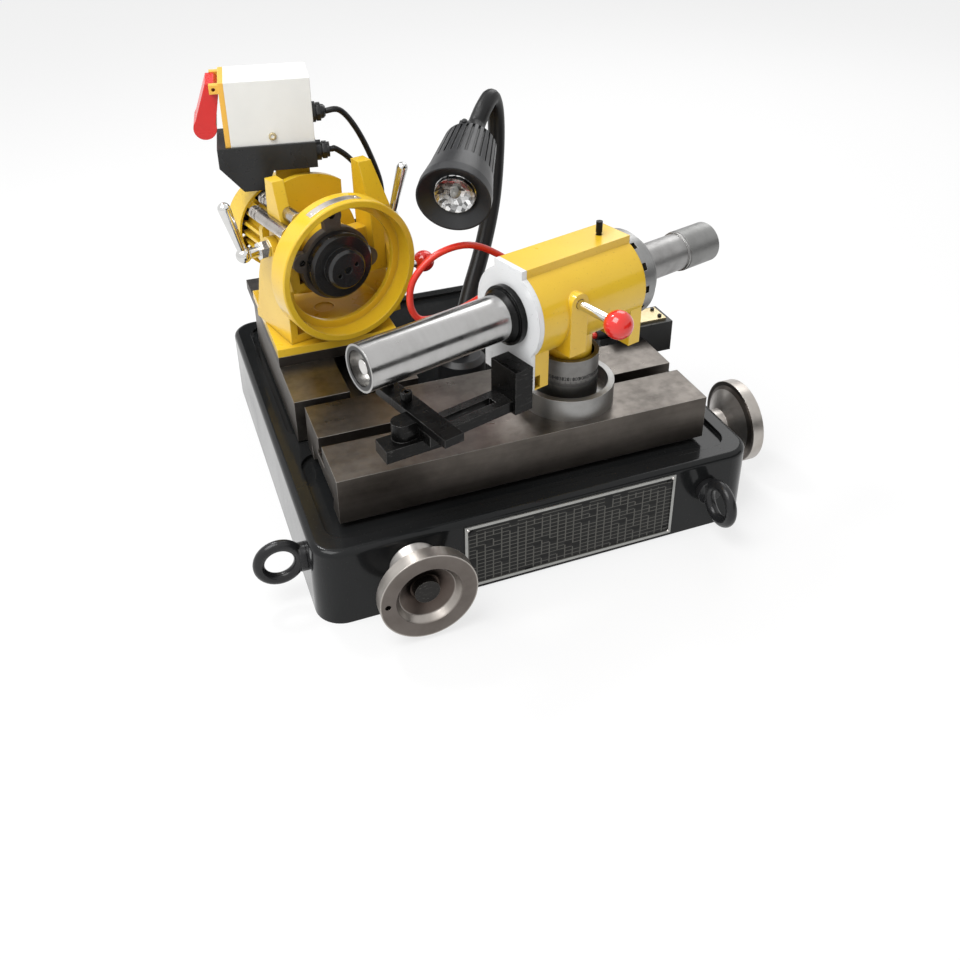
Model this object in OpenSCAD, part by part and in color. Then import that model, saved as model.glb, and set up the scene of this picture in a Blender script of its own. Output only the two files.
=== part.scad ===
// Bench tool and cutter grinder: a black base carries a T-slotted table with an indexing work head
// and a cross slide with a turned, tilting wheel head. X runs along the table, Y from front to rear.

/* [Base] */
// Width of the base casting along the table
base_w = 500; // [480:1:560]
// Depth of the base casting from front to rear
base_d = 512; // [500:1:580]
// Height of the base casting
base_h = 92; // [88:1:110]
// Radius of the vertical corners of the base
base_corner_r = 30; // [20:1:40]
// Rounding of the upper edge of the base
base_edge_r = 7; // [4:0.5:10]
// Thickness of the side walls of the base
base_wall = 14; // [10:1:20]
// Thickness of the deck of the base
base_deck = 22; // [18:1:26]
// Width of the rim around the two drip trays
rim_w = 20; // [16:1:26]
// Depth of the drip trays below the rim
tray_depth = 5; // [3:0.5:8]
// Inner corner radius of the drip trays
tray_corner_r = 24; // [8:1:30]

/* [Table] */
// Length of the table
table_len = 420; // [400:1:440]
// Height of the table block
table_t = 52; // [48:1:60]
// Width of each table strip beside its T-slot
strip_w = 63.5; // [56:0.5:70]
// Width of the T-slots
slot_w = 17; // [12:0.5:20]
// Depth of the narrow part of the T-slots
slot_neck = 14; // [10:0.5:18]
// Width of the undercut of the T-slots
slot_under_w = 28; // [22:0.5:34]
// Height of the undercut of the T-slots
slot_under_h = 9; // [7:0.5:12]
// Distance from the front of the base to the front of the table
table_setback = 41; // [34:1:50]
// Gap under the table above the rim of the base
table_lift = 2; // [1:0.5:4]

/* [Slides and screws] */
// Width of the dovetail ways at their top
way_top_w = 100; // [90:1:106]
// Width of the dovetail ways at their foot
way_foot_w = 84; // [70:1:88]
// Height that the ways reach into the slides
way_rise = 16; // [12:1:20]
// Length of the cross slide
cross_len = 250; // [230:1:260]
// Gap between the table and the cross slide
cross_gap = 13; // [12:0.5:20]
// Diameter of the lead screws
screw_d = 16; // [12:0.5:20]
// Distance of the lead screws below the top of the base
screw_drop = 36; // [32:0.5:40]
// Width of the screw nuts across the screw
nut_w = 26; // [22:1:30]
// Length of the screw nuts along the screw
nut_len = 32; // [24:1:36]
// Distance of the table screw in front of the middle of the table
table_screw_off = 12; // [0:1:16]

/* [Handwheels] */
// Outer diameter of the handwheels
wheel_d = 100; // [90:1:104]
// Width of the flat handwheel rims
wheel_rim_w = 16; // [12:0.5:18]
// Thickness of the handwheel rims
wheel_rim_t = 14; // [10:0.5:18]
// Overall length of a handwheel along its screw
wheel_len = 42; // [36:1:48]
// Distance from the base to the rim face of a handwheel
wheel_out = 51; // [48:1:60]

/* [Work head] */
// Position of the swivel along the table, from its middle
work_x = 67; // [40:1:90]
// Distance of the swivel centre in front of the T-slot centre
work_off = 12; // [0:1:14]
// Angle of the work head about the swivel
work_turn = 16.3; // [0:0.1:30]
// Height of the spindle above the table
spindle_h = 131; // [124:1:140]
// Diameter of the swivel base
swivel_d = 103; // [96:1:110]
// Height of the swivel base
swivel_t = 25; // [20:1:30]
// Diameter of the graduated drum
drum_d = 66; // [60:1:70]
// Radius of the work head barrel
barrel_r = 50; // [46:0.5:54]
// Length of the work head in front of its swivel
barrel_front = 85; // [78:1:92]
// Length of the work head behind its swivel
barrel_rear = 60; // [54:1:70]
// Diameter of the polished quill
quill_d = 48; // [44:0.5:52]
// Length of the quill in front of the collar
quill_out = 161; // [130:1:180]
// Thickness of the front plate of the work head
face_t = 6; // [4:0.5:8]
// Diameter of the black collar
collar_d = 63; // [58:0.5:68]
// Thickness of the black collar
collar_t = 13; // [10:0.5:16]
// Radius of the index plate
index_r = 48; // [44:0.5:52]
// Number of notches in the index plate
index_n = 12; // [8:1:24]
// Length of the rear sleeve
sleeve_len = 68; // [56:1:80]
// Diameter of the rear sleeve
sleeve_d = 42; // [38:0.5:46]
// Length of the end cap
cap_len = 48; // [40:1:56]
// Diameter of the end cap
cap_d = 46; // [42:0.5:50]

/* [Wheel head] */
// Angle of the wheel head about its swivel
head_turn = 15; // [0:0.5:25]
// Height of the grinding spindle above the cross slide
head_h = 110; // [106:1:120]
// Outer radius of the wheel guard
guard_r = 85.5; // [80:0.5:90]
// Wall of the wheel guard
guard_wall = 8; // [6:0.5:10]
// Depth of the wheel guard
guard_t = 30; // [24:1:36]
// Radius of the spindle housing
housing_r = 42; // [38:0.5:43]
// Radius of the motor
motor_r = 50; // [47:0.5:52]
// Length of the motor
motor_len = 72; // [66:1:84]
// Length of the fan cover
fan_cover_len = 36; // [30:1:42]
// Radius of the black wheel hub
hub_r = 40; // [36:0.5:42]
// Thickness of the riser plate under the wheel head
riser_t = 13; // [10:0.5:16]
// Thickness of the wheel head foot
foot_t = 10; // [8:0.5:13]
// Angle of the switch housing on the motor
switch_turn = -23; // [-30:1:0]

/* [Lamp] */
// Diameter of the gooseneck
neck_d = 21; // [16:0.5:22]
// Diameter of the mouth of the lamp
lamp_d = 83; // [78:1:90]
// Length of the lamp head
lamp_len = 122; // [110:1:130]
// Diameter of the lamp lens
lens_d = 46; // [42:0.5:50]

/* [Hidden] */
$fn = 64;
// Side count of swept tubes
tube_sides = 10;
// Direction that the first ring of a swept tube starts from
first_across = [0.3, 0.5, 0.8];
// Points that each stretch of a route is divided into
route_steps = 3;
// Overrun of every cut
over = 1;
// Running clearance between pieces that move on each other
gap = 0.35;
// Radial clearance of a shaft in its bearing
fit = 0.05;

// Places of the slides
table_x = -4;
table_travel = 60;
cross_in = 99;
cross_x = cross_in - base_w / 2;
cross_fore = 10;
cross_back = 50;
table_z0 = base_h + table_lift;
slide_top = table_z0 + table_t;
slide_w = 2 * strip_w + slot_w;
table_front = table_setback - base_d / 2;
table_mid = table_front + slide_w / 2;
cross_front = table_front + slide_w + cross_gap;
cross_mid = cross_front + cross_len / 2;
tray_floor = base_h - tray_depth;
tray_bridge = 36;
base_post_d = 60;
tray_split = cross_front - cross_gap / 2;
way_top = table_z0 + way_rise;
table_way_len = table_len - 2 * rim_w;
cross_way_rear = base_d / 2 - rim_w;
cross_way_len = cross_way_rear - cross_front - cross_fore;
table_screw_y = table_mid - table_screw_off;
table_nut_x = table_x + nut_len;
cross_nut_y = cross_mid + cross_fore;
nut_room = 3;
nut_below = 14;
table_screw_in = 110;
cross_screw_in = cross_nut_y + nut_len + cross_back;
screw_h = base_h - screw_drop;

// Screw bushes and handwheels
bush_d = 28;
bush_in = 20;
bush_flange_d = 52;
bush_flange_t = wheel_out - wheel_len - gap;
wheel_hub_r = 19;
wheel_web = 26;
wheel_lip = 5;
wheel_dish_step = 7;
wheel_dish_r = 15;
wheel_handle_hole_d = 6;
wheel_handle_deep = 10;
wheel_nut_d = 26;
wheel_nut_t = 9;

// Eye bolts and the plate on the front
eye_r = 21;
eye_wire = 6;
eye_collar_r = 15;
eye_collar_t = 7;
eye_neck_r = 8;
eye_reach = 27;
eye_h = 52;
eye_front_in = 58;
eye_side_in = 56;
eye_front_x = base_w / 2 - eye_front_in;
eye_side_y = base_d / 2 - eye_side_in;
plate_w = 245;
plate_h = 80;
plate_t = 2;
plate_border = 4;
plate_field = 0.8;
plate_x = 26;
plate_z0 = 5;
rivet_r = 2.5;
rivet_in = 8;

// Rounded block with vertical corners
module round_plate(w, d, h, r) {
    translate([r - w / 2, -d / 2, 0]) cube([w - 2 * r, d, h]);
    translate([-w / 2, r - d / 2, 0]) cube([w, d - 2 * r, h]);
    for (sx = [-1, 1])
        for (sy = [-1, 1])
            translate([sx * (w / 2 - r), sy * (d / 2 - r), 0]) cylinder(h = h, r = r);
}

// Rounded block whose upper edge is rounded too
module soft_plate(w, d, h, r, e) {
    round_plate(w, d, h - e, r);
    round_plate(w - 2 * e, d - 2 * e, h, r - e);
    for (s = [-1, 1]) {
        translate([s * (w / 2 - e), 0, h - e]) rotate([90, 0, 0])
            cylinder(h = d - 2 * r, r = e, center = true);
        translate([0, s * (d / 2 - e), h - e]) rotate([0, 90, 0])
            cylinder(h = w - 2 * r, r = e, center = true);
    }
    for (sx = [-1, 1])
        for (sy = [-1, 1])
            translate([sx * (w / 2 - r), sy * (d / 2 - r), h - e])
                rotate_extrude() translate([r - e, 0]) circle(r = e);
}

// Box given by its lowest and highest corners
module span(low, high) {
    translate(low) cube(high - low);
}

// Dovetail bar along X, grown by a clearance on its flanks and top
module way_bar(len, grow) {
    translate([-len / 2, 0, 0]) rotate([90, 0, 90]) linear_extrude(height = len)
        polygon([[-way_foot_w / 2 - grow, tray_floor], [way_foot_w / 2 + grow, tray_floor],
            [way_top_w / 2 + grow, way_top + grow], [-way_top_w / 2 - grow, way_top + grow]]);
}

// T-slotted slide along X, centred over its way
module slotted_slide(len) {
    difference() {
        span([-len / 2, -slide_w / 2, table_z0], [len / 2, slide_w / 2, slide_top]);
        span([-len / 2 - over, -slot_w / 2, slide_top - slot_neck - slot_under_h],
            [len / 2 + over, slot_w / 2, slide_top + over]);
        span([-len / 2 - over, -slot_under_w / 2, slide_top - slot_neck - slot_under_h],
            [len / 2 + over, slot_under_w / 2, slide_top - slot_neck]);
        way_bar(len + 2 * over, gap);
    }
}

// Room in the deck and the way for a nut that travels along X
module nut_window(fore, back) {
    span([-nut_len / 2 - fore - nut_room, -nut_w / 2 - nut_room, base_h - base_deck - over],
        [nut_len / 2 + back + nut_room, nut_w / 2 + nut_room, way_top + over]);
}

// Nut block that hangs from its slide around a lead screw along X
module screw_nut() {
    difference() {
        span([-nut_len / 2, -nut_w / 2, screw_h - nut_below], [nut_len / 2, nut_w / 2, way_top + gap]);
        translate([-nut_len / 2 - over, 0, screw_h]) rotate([0, 90, 0])
            cylinder(h = nut_len + 2 * over, d = screw_d + 2 * gap);
    }
}

// Flanged bush, with the wall's outer face at z = 0 and the flange above it
module bush() {
    difference() {
        union() {
            translate([0, 0, -base_wall - bush_in]) cylinder(h = base_wall + bush_in, d = bush_d);
            cylinder(h = bush_flange_t, d1 = bush_flange_d, d2 = bush_flange_d - bush_flange_t);
        }
        translate([0, 0, -base_wall - bush_in - over])
            cylinder(h = base_wall + bush_in + bush_flange_t + 2 * over, d = screw_d + 2 * fit);
    }
}

// Hole for a bush through the wall of the base
module bush_hole() {
    translate([0, 0, -base_wall - over]) cylinder(h = base_wall + 2 * over, d = bush_d + 2 * fit);
}

// Dished handwheel, rim face at z = 0 and hub behind it at negative z
module handwheel() {
    r = wheel_d / 2;
    inner = r - wheel_rim_w;
    floor_z = wheel_web - wheel_len;
    difference() {
        rotate_extrude() polygon([[inner, 0], [r, 0], [r, -wheel_rim_t], [r - wheel_lip, -wheel_rim_t],
            [wheel_hub_r, wheel_web / 2 - wheel_len], [wheel_hub_r, -wheel_len],
            [screw_d / 2 + fit, -wheel_len], [screw_d / 2 + fit, floor_z], [wheel_dish_r, floor_z],
            [inner - wheel_lip, -wheel_dish_step]]);
        translate([wheel_rim_w / 2 - r, 0, -wheel_handle_deep])
            cylinder(h = wheel_handle_deep + over, d = wheel_handle_hole_d);
    }
}

// Lead screw with its hub nut in the dish, rim face of the wheel at z = 0
module lead_screw(len) {
    floor_z = wheel_web - wheel_len;
    translate([0, 0, -len]) cylinder(h = len + floor_z + wheel_nut_t, d = screw_d);
    translate([0, 0, floor_z]) cylinder(h = wheel_nut_t, d = wheel_nut_d);
}

// Eye bolt with its seat at z = 0 and its ring in the XZ plane
module eye_bolt() {
    translate([0, 0, eye_reach]) rotate([90, 0, 0])
        rotate_extrude() translate([eye_r, 0]) circle(r = eye_wire);
    cylinder(h = eye_collar_t, r = eye_collar_r);
    cylinder(h = eye_reach - eye_r, r = eye_neck_r);
}

module at_table_screw() {
    translate([base_w / 2, table_screw_y, screw_h]) rotate([0, 90, 0]) children();
}

module at_cross_screw() {
    translate([cross_x, -base_d / 2, screw_h]) rotate([90, 0, 0]) children();
}

module base_casting() color([0.03, 0.03, 0.035]) {
    tray_w = base_w - 2 * rim_w;
    front_y = rim_w - base_d / 2;
    front_d = tray_split - tray_bridge / 2 - front_y;
    rear_y = tray_split + tray_bridge / 2;
    rear_d = base_d / 2 - rim_w - rear_y;
    difference() {
        union() {
            difference() {
                soft_plate(base_w, base_d, base_h, base_corner_r, base_edge_r);
                translate([0, front_y + front_d / 2, tray_floor])
                    round_plate(tray_w, front_d, tray_depth + over, tray_corner_r);
                translate([0, rear_y + rear_d / 2, tray_floor])
                    round_plate(tray_w, rear_d, tray_depth + over, tray_corner_r);
                translate([0, 0, -over])
                    round_plate(base_w - 2 * base_wall, base_d - 2 * base_wall,
                        base_h - base_deck + over, base_corner_r - base_wall);
            }
            cylinder(h = base_h - base_deck, d = base_post_d);
            translate([0, table_mid, 0]) way_bar(table_way_len, 0);
            translate([cross_x, cross_way_rear - cross_way_len / 2, 0])
                rotate([0, 0, 90]) way_bar(cross_way_len, 0);
        }
        translate([table_nut_x, table_screw_y, 0]) nut_window(table_travel, table_travel);
        translate([cross_x, cross_nut_y, 0]) rotate([0, 0, 90]) nut_window(cross_fore, cross_back);
        at_table_screw() bush_hole();
        at_cross_screw() bush_hole();
    }
}

module spec_plate() color("dimgray") {
    y0 = -base_d / 2 - plate_t;
    difference() {
        translate([plate_x - plate_w / 2, y0, plate_z0]) cube([plate_w, plate_t, plate_h]);
        translate([plate_x - plate_w / 2 + plate_border, y0 - over, plate_z0 + plate_border])
            cube([plate_w - 2 * plate_border, over + plate_field, plate_h - 2 * plate_border]);
    }
    for (sx = [-1, 1])
        for (sz = [0, 1])
            translate([plate_x + sx * (plate_w / 2 - rivet_in), y0 + plate_t,
                plate_z0 + rivet_in + sz * (plate_h - 2 * rivet_in)])
                rotate([90, 0, 0]) cylinder(h = plate_t, r = rivet_r);
}

module eye_bolts() color([0.05, 0.05, 0.05]) {
    for (s = [-1, 1]) {
        translate([s * base_w / 2, s * eye_side_y, eye_h]) rotate([0, s * 90, 0]) eye_bolt();
        translate([-s * eye_front_x, s * base_d / 2, eye_h])
            rotate([-s * 90, 0, 0]) rotate([0, 0, 90]) eye_bolt();
    }
}

module screw_bushes() color("silver") {
    at_table_screw() bush();
    at_cross_screw() bush();
}

module table_block() color([0.45, 0.42, 0.38])
    translate([table_x, table_mid, 0]) slotted_slide(table_len);

module table_nut() color("goldenrod")
    translate([table_nut_x, table_screw_y, 0]) screw_nut();

module table_handwheel() color("silver")
    at_table_screw() translate([0, 0, wheel_out]) handwheel();

module table_screw() color("gray")
    at_table_screw() translate([0, 0, wheel_out]) lead_screw(base_w / 2 + wheel_out + table_screw_in);

module cross_slide_block() color([0.45, 0.42, 0.38])
    translate([cross_x, cross_mid, 0]) rotate([0, 0, 90]) slotted_slide(cross_len);

module cross_nut() color("goldenrod")
    translate([cross_x, cross_nut_y, 0]) rotate([0, 0, 90]) screw_nut();

module cross_handwheel() color("silver")
    at_cross_screw() translate([0, 0, wheel_out]) handwheel();

module cross_screw() color("gray")
    at_cross_screw() translate([0, 0, wheel_out]) lead_screw(base_d / 2 + wheel_out + cross_screw_in);

// Work head, in a frame with X along the spindle to the rear and Z = 0 on the table
swivel_wall = 7;
swivel_floor = 8;
pivot_d = 20;
drum_wall = 5;
drum_h = 54;
drum_floor = 8;
pedestal_r = 25;
pad_w = 43;
pad_rise = 4;
apron_w = 74;
apron_t = 18;
apron_drop = 75;
face_slot_drop = 66;
face_slot_under = 14;
face_slot_deep = 7;
boss_x = -35;
boss_r = 11;
boss_down = 42;
boss_reach = 52;
lock_up = 16;
lock_d = 10;
lock_len = 81;
lock_ball_d = 29;
rear_leg_w = 16;
rear_leg_drop = 62;
collar_lip = 3;
quill_rear = 55;
quill_bore = 36;
nose_depth = 12;
land_len = 24;
core_d = 24;
nose_boss_d = 15;
nose_boss_t = 8;
nose_screw_d = 7;
nose_screw_r = 12;
notch_w = 8;
notch_deep = 7;
notch_len = 7;
index_t = 16;
index_flange_r = 40;
index_flange_t = 16;
index_round = 6;
sleeve_ring_d = 45;
sleeve_ring_t = 3;
cap_chamfer = 3;
pin_x = 36;
pin_d = 6;
pin_up = 15;
pin_head_d = 7;
pin_head_t = 12;
fitting_x = -20;
fitting_up = -15;
fitting_d = 13;
fitting_len = 26;
fitting_seat = 5;
fitting_nut_d = 17;
fitting_nut_t = 9;
hose_d = 8;

// Tooth rest
bracket_t = 22;
bracket_w = 40;
bracket_right = 41;
bracket_top = -43;
bracket_h = 49;
arm_w = 30;
arm_t = 12;
arm_low = -90;
arm_end = -208;
arm_start = -87;
arm_slot_w = 10;
arm_slot_margin = 12;
rest_len = 122;
rest_w = 22;
rest_t = 9;
rest_x = -197;
finger_w = 26;
finger_len = 60;
finger_t = 14;
finger_right = 17;
finger_turn = -8;
finger_post_d = 22;
finger_post_up = 6;
rest_screw_d = 12;
rest_screw_t = 10;
rest_screw_near = 20;
rest_screw_far = 54;

// Air valve behind the table
valve_in = 174;
valve_w = 76;
valve_d = 42;
valve_below = 24;
valve_above = 16;
valve_cover_t = 3;
valve_cover_in = 6;
valve_port_up = 4;
valve_port_len = 18;

work_px = table_x + work_x;
work_py = table_mid - work_off;
drum_z0 = swivel_floor + gap;
valve_left = table_x + valve_in;
valve_right = valve_left + valve_w;
valve_low = slide_top - valve_below;
valve_high = slide_top + valve_above;
// Route of the red air hose from the valve to the work head, from the middle of the table top
hose_route = [[156, 93, 4], [148, 93, 4], [140, 93, 4], [129, 96, 13], [110, 103, 36], [80, 115, 82], [44, 123, 116],
    [4, 124, 137], [-36, 123, 132], [-64, 121, 108], [-71, 118, 80], [-62, 116, 59], [-40, 113, 58],
    [-15, 105, 68], [6, 93, 85], [17, 81, 103], [22.3, 70, 113.5], [25.1, 60, 116], [27.8, 50.9, 116]];

function unit(v) = v / norm(v);
// Point on a smooth curve through the route, for a whole part i and a rest u
function on_route(p, i, u) =
    let (a = p[max(i - 1, 0)], b = p[i], c = p[i + 1], d = p[min(i + 2, len(p) - 1)])
    b + u * ((c - a) / 2 + u * (a - 2.5 * b + 2 * c - d / 2 + u * (1.5 * (b - c) + (d - a) / 2)));
function smooth_route(p) =
    concat([for (i = [0 : len(p) - 2]) for (k = [0 : route_steps - 1]) on_route(p, i, k / route_steps)],
        [p[len(p) - 1]]);
function route_dir(p, i) = unit(p[min(i + 1, len(p) - 1)] - p[max(i - 1, 0)]);
function carried(n, t) = unit(n - (n * t) * t);

// Tube swept along a route
module tube(route, d) {
    p = smooth_route(route);
    n = len(p);
    sides = tube_sides;
    start = carried(first_across, route_dir(p, 0));
    across = [for (i = 0, v = start; i < n; i = i + 1, v = i < n ? carried(v, route_dir(p, i)) : v) v];
    rings = [for (i = [0 : n - 1]) let (a = across[i], b = cross(route_dir(p, i), a))
        for (k = [0 : sides - 1]) p[i] + d / 2 * (cos(360 * k / sides) * a + sin(360 * k / sides) * b)];
    walls = [for (i = [0 : n - 2]) for (k = [0 : sides - 1]) let (m = (k + 1) % sides)
        each [[i * sides + k, (i + 1) * sides + k, (i + 1) * sides + m],
            [i * sides + k, (i + 1) * sides + m, i * sides + m]]];
    first = [[for (k = [0 : sides - 1]) k]];
    last = [[for (k = [sides - 1 : -1 : 0]) (n - 1) * sides + k]];
    polyhedron(points = rings, faces = concat(walls, first, last));
}

module at_workhead() {
    translate([work_px, work_py, slide_top]) rotate([0, 0, work_turn]) children();
}

module at_spindle() {
    at_workhead() translate([0, 0, spindle_h]) children();
}

// Bar along the spindle between two places on it
module turned(x0, x1, r) {
    translate([x0, 0, 0]) rotate([0, 90, 0]) cylinder(h = x1 - x0, r = r);
}

module swivel_base() color("darkgray")
    translate([work_px, work_py, slide_top]) {
        difference() {
            cylinder(h = swivel_t, d = swivel_d);
            translate([0, 0, swivel_floor]) cylinder(h = swivel_t, d = swivel_d - 2 * swivel_wall);
        }
        cylinder(h = drum_z0 + drum_floor - over, d = pivot_d);
    }

module swivel_drum() color("gray")
    translate([work_px, work_py, slide_top + drum_z0]) difference() {
        cylinder(h = drum_h, d = drum_d);
        translate([0, 0, drum_floor]) cylinder(h = drum_h, d = drum_d - 2 * drum_wall);
        translate([0, 0, -over]) cylinder(h = drum_floor + 2 * over, d = pivot_d + 2 * fit);
    }

module workhead_housing() color("gold") at_spindle() {
    x0 = face_t - barrel_front;
    bore_r = quill_d / 2 + gap;
    difference() {
        union() {
            turned(x0, barrel_rear, barrel_r);
            span([x0, -pad_w / 2, 0], [barrel_rear, pad_w / 2, barrel_r + pad_rise]);
            span([x0, -apron_w / 2, -apron_drop], [x0 + apron_t, apron_w / 2, 0]);
            span([barrel_rear - rear_leg_w, -barrel_r + pad_rise, -rear_leg_drop],
                [barrel_rear, barrel_r - pad_rise, 0]);
            translate([boss_x, 0, lock_up]) rotate([90, 0, 0]) cylinder(h = boss_reach, r = boss_r);
            span([boss_x - boss_r, -boss_reach, -boss_down], [boss_x + boss_r, 0, lock_up]);
            translate([0, 0, drum_z0 + drum_floor - spindle_h])
                cylinder(h = spindle_h - drum_z0 - drum_floor, r = pedestal_r);
        }
        turned(x0 - over, barrel_rear + over, bore_r);
        translate([fitting_x, barrel_r - fitting_seat, fitting_up]) rotate([-90, 0, 0])
            cylinder(h = fitting_len, d = fitting_nut_d + 2 * gap);
        translate([pin_x, 0, 0]) cylinder(h = barrel_r + pad_rise + over, d = pin_d + 2 * gap);
        translate([boss_x, 0, lock_up]) rotate([90, 0, 0])
            cylinder(h = boss_reach + over, d = lock_d + 2 * gap);
        span([x0 - over, -apron_w / 2 - over, -face_slot_drop - face_slot_under / 2],
            [x0 + face_slot_deep, apron_w / 2 + over, face_slot_under / 2 - face_slot_drop]);
    }
}

module front_plate() color("whitesmoke") at_spindle() difference() {
    union() {
        turned(-barrel_front, face_t - barrel_front, barrel_r);
        span([-barrel_front, -apron_w / 2, -apron_drop], [face_t - barrel_front, apron_w / 2, 0]);
        span([-barrel_front, -pad_w / 2, 0], [face_t - barrel_front, pad_w / 2, barrel_r + pad_rise]);
    }
    turned(-barrel_front - over, face_t - barrel_front + over, quill_d / 2 + gap);
}

module wiper_collar() color([0.06, 0.06, 0.06]) at_spindle() {
    x1 = -barrel_front;
    x0 = x1 - collar_t;
    bore_r = quill_d / 2 + gap;
    r = collar_d / 2;
    translate([x0, 0, 0]) rotate([0, 90, 0]) rotate_extrude()
        polygon([[bore_r, 0], [r - 2 * collar_lip, 0], [r - collar_lip, collar_lip],
            [r - collar_lip, collar_t / 2], [r, collar_t / 2], [r, collar_t], [bore_r, collar_t]]);
}

module quill_tube() color("lightgray") at_spindle() {
    x0 = -barrel_front - collar_t - quill_out;
    difference() {
        turned(x0, quill_rear, quill_d / 2);
        turned(x0 - over, quill_rear + over, quill_bore / 2);
    }
}

module spindle_core() color("silver") at_spindle() {
    x0 = nose_depth - barrel_front - collar_t - quill_out;
    land_r = quill_bore / 2 - fit;
    turned(x0, x0 + land_len, land_r);
    turned(x0, barrel_rear + index_t, core_d / 2);
    turned(quill_rear - land_len, quill_rear, land_r);
    turned(x0 - nose_boss_t, x0, nose_boss_d / 2);
    for (s = [-1, 1])
        translate([0, 0, s * nose_screw_r]) turned(x0 - nose_boss_t / 2, x0, nose_screw_d / 2);
}

module index_plate() color("gray") at_spindle() {
    x0 = barrel_rear + gap;
    x2 = index_t + index_flange_t;
    difference() {
        translate([x0, 0, 0]) rotate([0, 90, 0]) rotate_extrude()
            polygon([[core_d / 2 + fit, 0], [index_r, 0], [index_r, index_t], [index_flange_r, index_t],
                [index_flange_r, x2 - index_round], [index_flange_r - index_round, x2], [0, x2],
                [0, index_t - gap], [core_d / 2 + fit, index_t - gap]]);
        for (k = [0 : index_n - 1])
            rotate([360 * k / index_n, 0, 0])
                span([x0 - over, -notch_w / 2, index_r - notch_deep],
                    [x0 + notch_len, notch_w / 2, index_r + over]);
    }
}

module rear_sleeve() color("gray") at_spindle() {
    x0 = barrel_rear + gap + index_t + index_flange_t;
    turned(x0, x0 + sleeve_len, sleeve_d / 2);
    turned(x0 + sleeve_len - sleeve_ring_t, x0 + sleeve_len, sleeve_ring_d / 2);
}

module end_cap() color("darkgray") at_spindle() {
    x0 = barrel_rear + gap + index_t + index_flange_t + sleeve_len;
    turned(x0, x0 + cap_len - cap_chamfer, cap_d / 2);
    translate([x0 + cap_len - cap_chamfer, 0, 0]) rotate([0, 90, 0])
        cylinder(h = cap_chamfer, d1 = cap_d, d2 = cap_d - 2 * cap_chamfer);
}

module index_pin() color([0.08, 0.08, 0.08]) at_spindle() translate([pin_x, 0, 0]) {
    z0 = quill_d / 2 + 2 * gap;
    translate([0, 0, z0]) cylinder(h = barrel_r + pad_rise + pin_up - z0, d = pin_d);
    translate([0, 0, barrel_r + pad_rise + pin_up - pin_head_t]) cylinder(h = pin_head_t, d = pin_head_d);
}

module lock_lever() color("silver") at_spindle()
    translate([boss_x, -quill_d / 2 - 2 * gap, lock_up]) rotate([90, 0, 0])
        cylinder(h = lock_len - lock_ball_d / 4, d = lock_d);

module lock_ball() color("red") at_spindle()
    translate([boss_x, -quill_d / 2 - 2 * gap - lock_len, lock_up]) difference() {
        sphere(d = lock_ball_d);
        rotate([-90, 0, 0]) translate([0, 0, lock_ball_d / 4]) cylinder(h = lock_ball_d, d = lock_d);
    }

// Seat of the hose fitting on the rear side of the work head, with the fitting along Z
module at_fitting() {
    at_spindle() translate([fitting_x, barrel_r - fitting_seat, fitting_up]) rotate([-90, 0, 0]) children();
}

module hose_fitting() color("goldenrod") at_fitting() {
    cylinder(h = fitting_len, d = fitting_d);
    cylinder(h = fitting_nut_t, d = fitting_nut_d, $fn = 6);
}

module rest_bracket() color([0.05, 0.05, 0.05]) at_spindle() difference() {
    x1 = -barrel_front;
    span([x1 - bracket_t, -bracket_right, bracket_top - bracket_h],
        [x1, bracket_w - bracket_right, bracket_top]);
    span([x1 - bracket_t - over, -bracket_right + (bracket_w - arm_w) / 2 - gap, arm_low - gap],
        [x1 + over, -bracket_right + (bracket_w + arm_w) / 2 + gap, arm_low + arm_t + gap]);
}

module rest_arm() color([0.05, 0.05, 0.05]) at_spindle() difference() {
    y0 = -bracket_right + (bracket_w - arm_w) / 2;
    span([arm_end, y0, arm_low], [arm_start, y0 + arm_w, arm_low + arm_t]);
    span([arm_end + arm_slot_margin, y0 + (arm_w - arm_slot_w) / 2, arm_low - over],
        [arm_start - bracket_t - arm_slot_margin, y0 + (arm_w + arm_slot_w) / 2, arm_low + arm_t + over]);
}

module rest_plate() color([0.05, 0.05, 0.05]) at_spindle() {
    z0 = arm_low + arm_t + gap;
    span([rest_x - rest_w / 2, -rest_len / 2, z0], [rest_x + rest_w / 2, rest_len / 2, z0 + rest_t]);
}

module rest_finger() color([0.05, 0.05, 0.05]) at_spindle() {
    x1 = rest_x - rest_w / 2;
    z1 = arm_low - gap;
    x0 = x1 + rest_w - finger_len;
    z2 = arm_low + arm_t + gap + finger_post_up;
    y1 = finger_w / 2 - finger_right;
    translate([x0, -finger_right, z1 - finger_t]) rotate([0, 0, finger_turn])
        cube([finger_len, finger_w, finger_t]);
    translate([x1 - finger_post_d / 2, y1, z1 - over]) cylinder(h = z2 - z1 + over, d = finger_post_d);
    span([x1 - finger_post_d / 2, y1 - finger_post_d / 2, z1 - over], [x1, y1 + finger_post_d / 2, z2]);
}

module rest_screws() color([0.05, 0.05, 0.05]) at_spindle() {
    z0 = arm_low + arm_t + gap + rest_t;
    for (y = [rest_screw_near, rest_screw_far])
        translate([rest_x, y, z0]) cylinder(h = rest_screw_t, d = rest_screw_d);
}

module air_valve() color([0.05, 0.05, 0.05]) {
    y0 = table_front + slide_w;
    span([valve_left, y0, valve_low], [valve_right, y0 + valve_d, valve_high]);
    translate([valve_left - valve_port_len, y0 + valve_d / 2, slide_top + valve_port_up]) rotate([0, 90, 0])
        cylinder(h = valve_port_len, d = fitting_d);
}

module valve_cover() color("goldenrod") {
    y0 = table_front + slide_w;
    span([valve_left + valve_cover_in, y0 + valve_cover_in, valve_high],
        [valve_right - valve_cover_in, y0 + valve_d - valve_cover_in, valve_high + valve_cover_t]);
}

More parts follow.
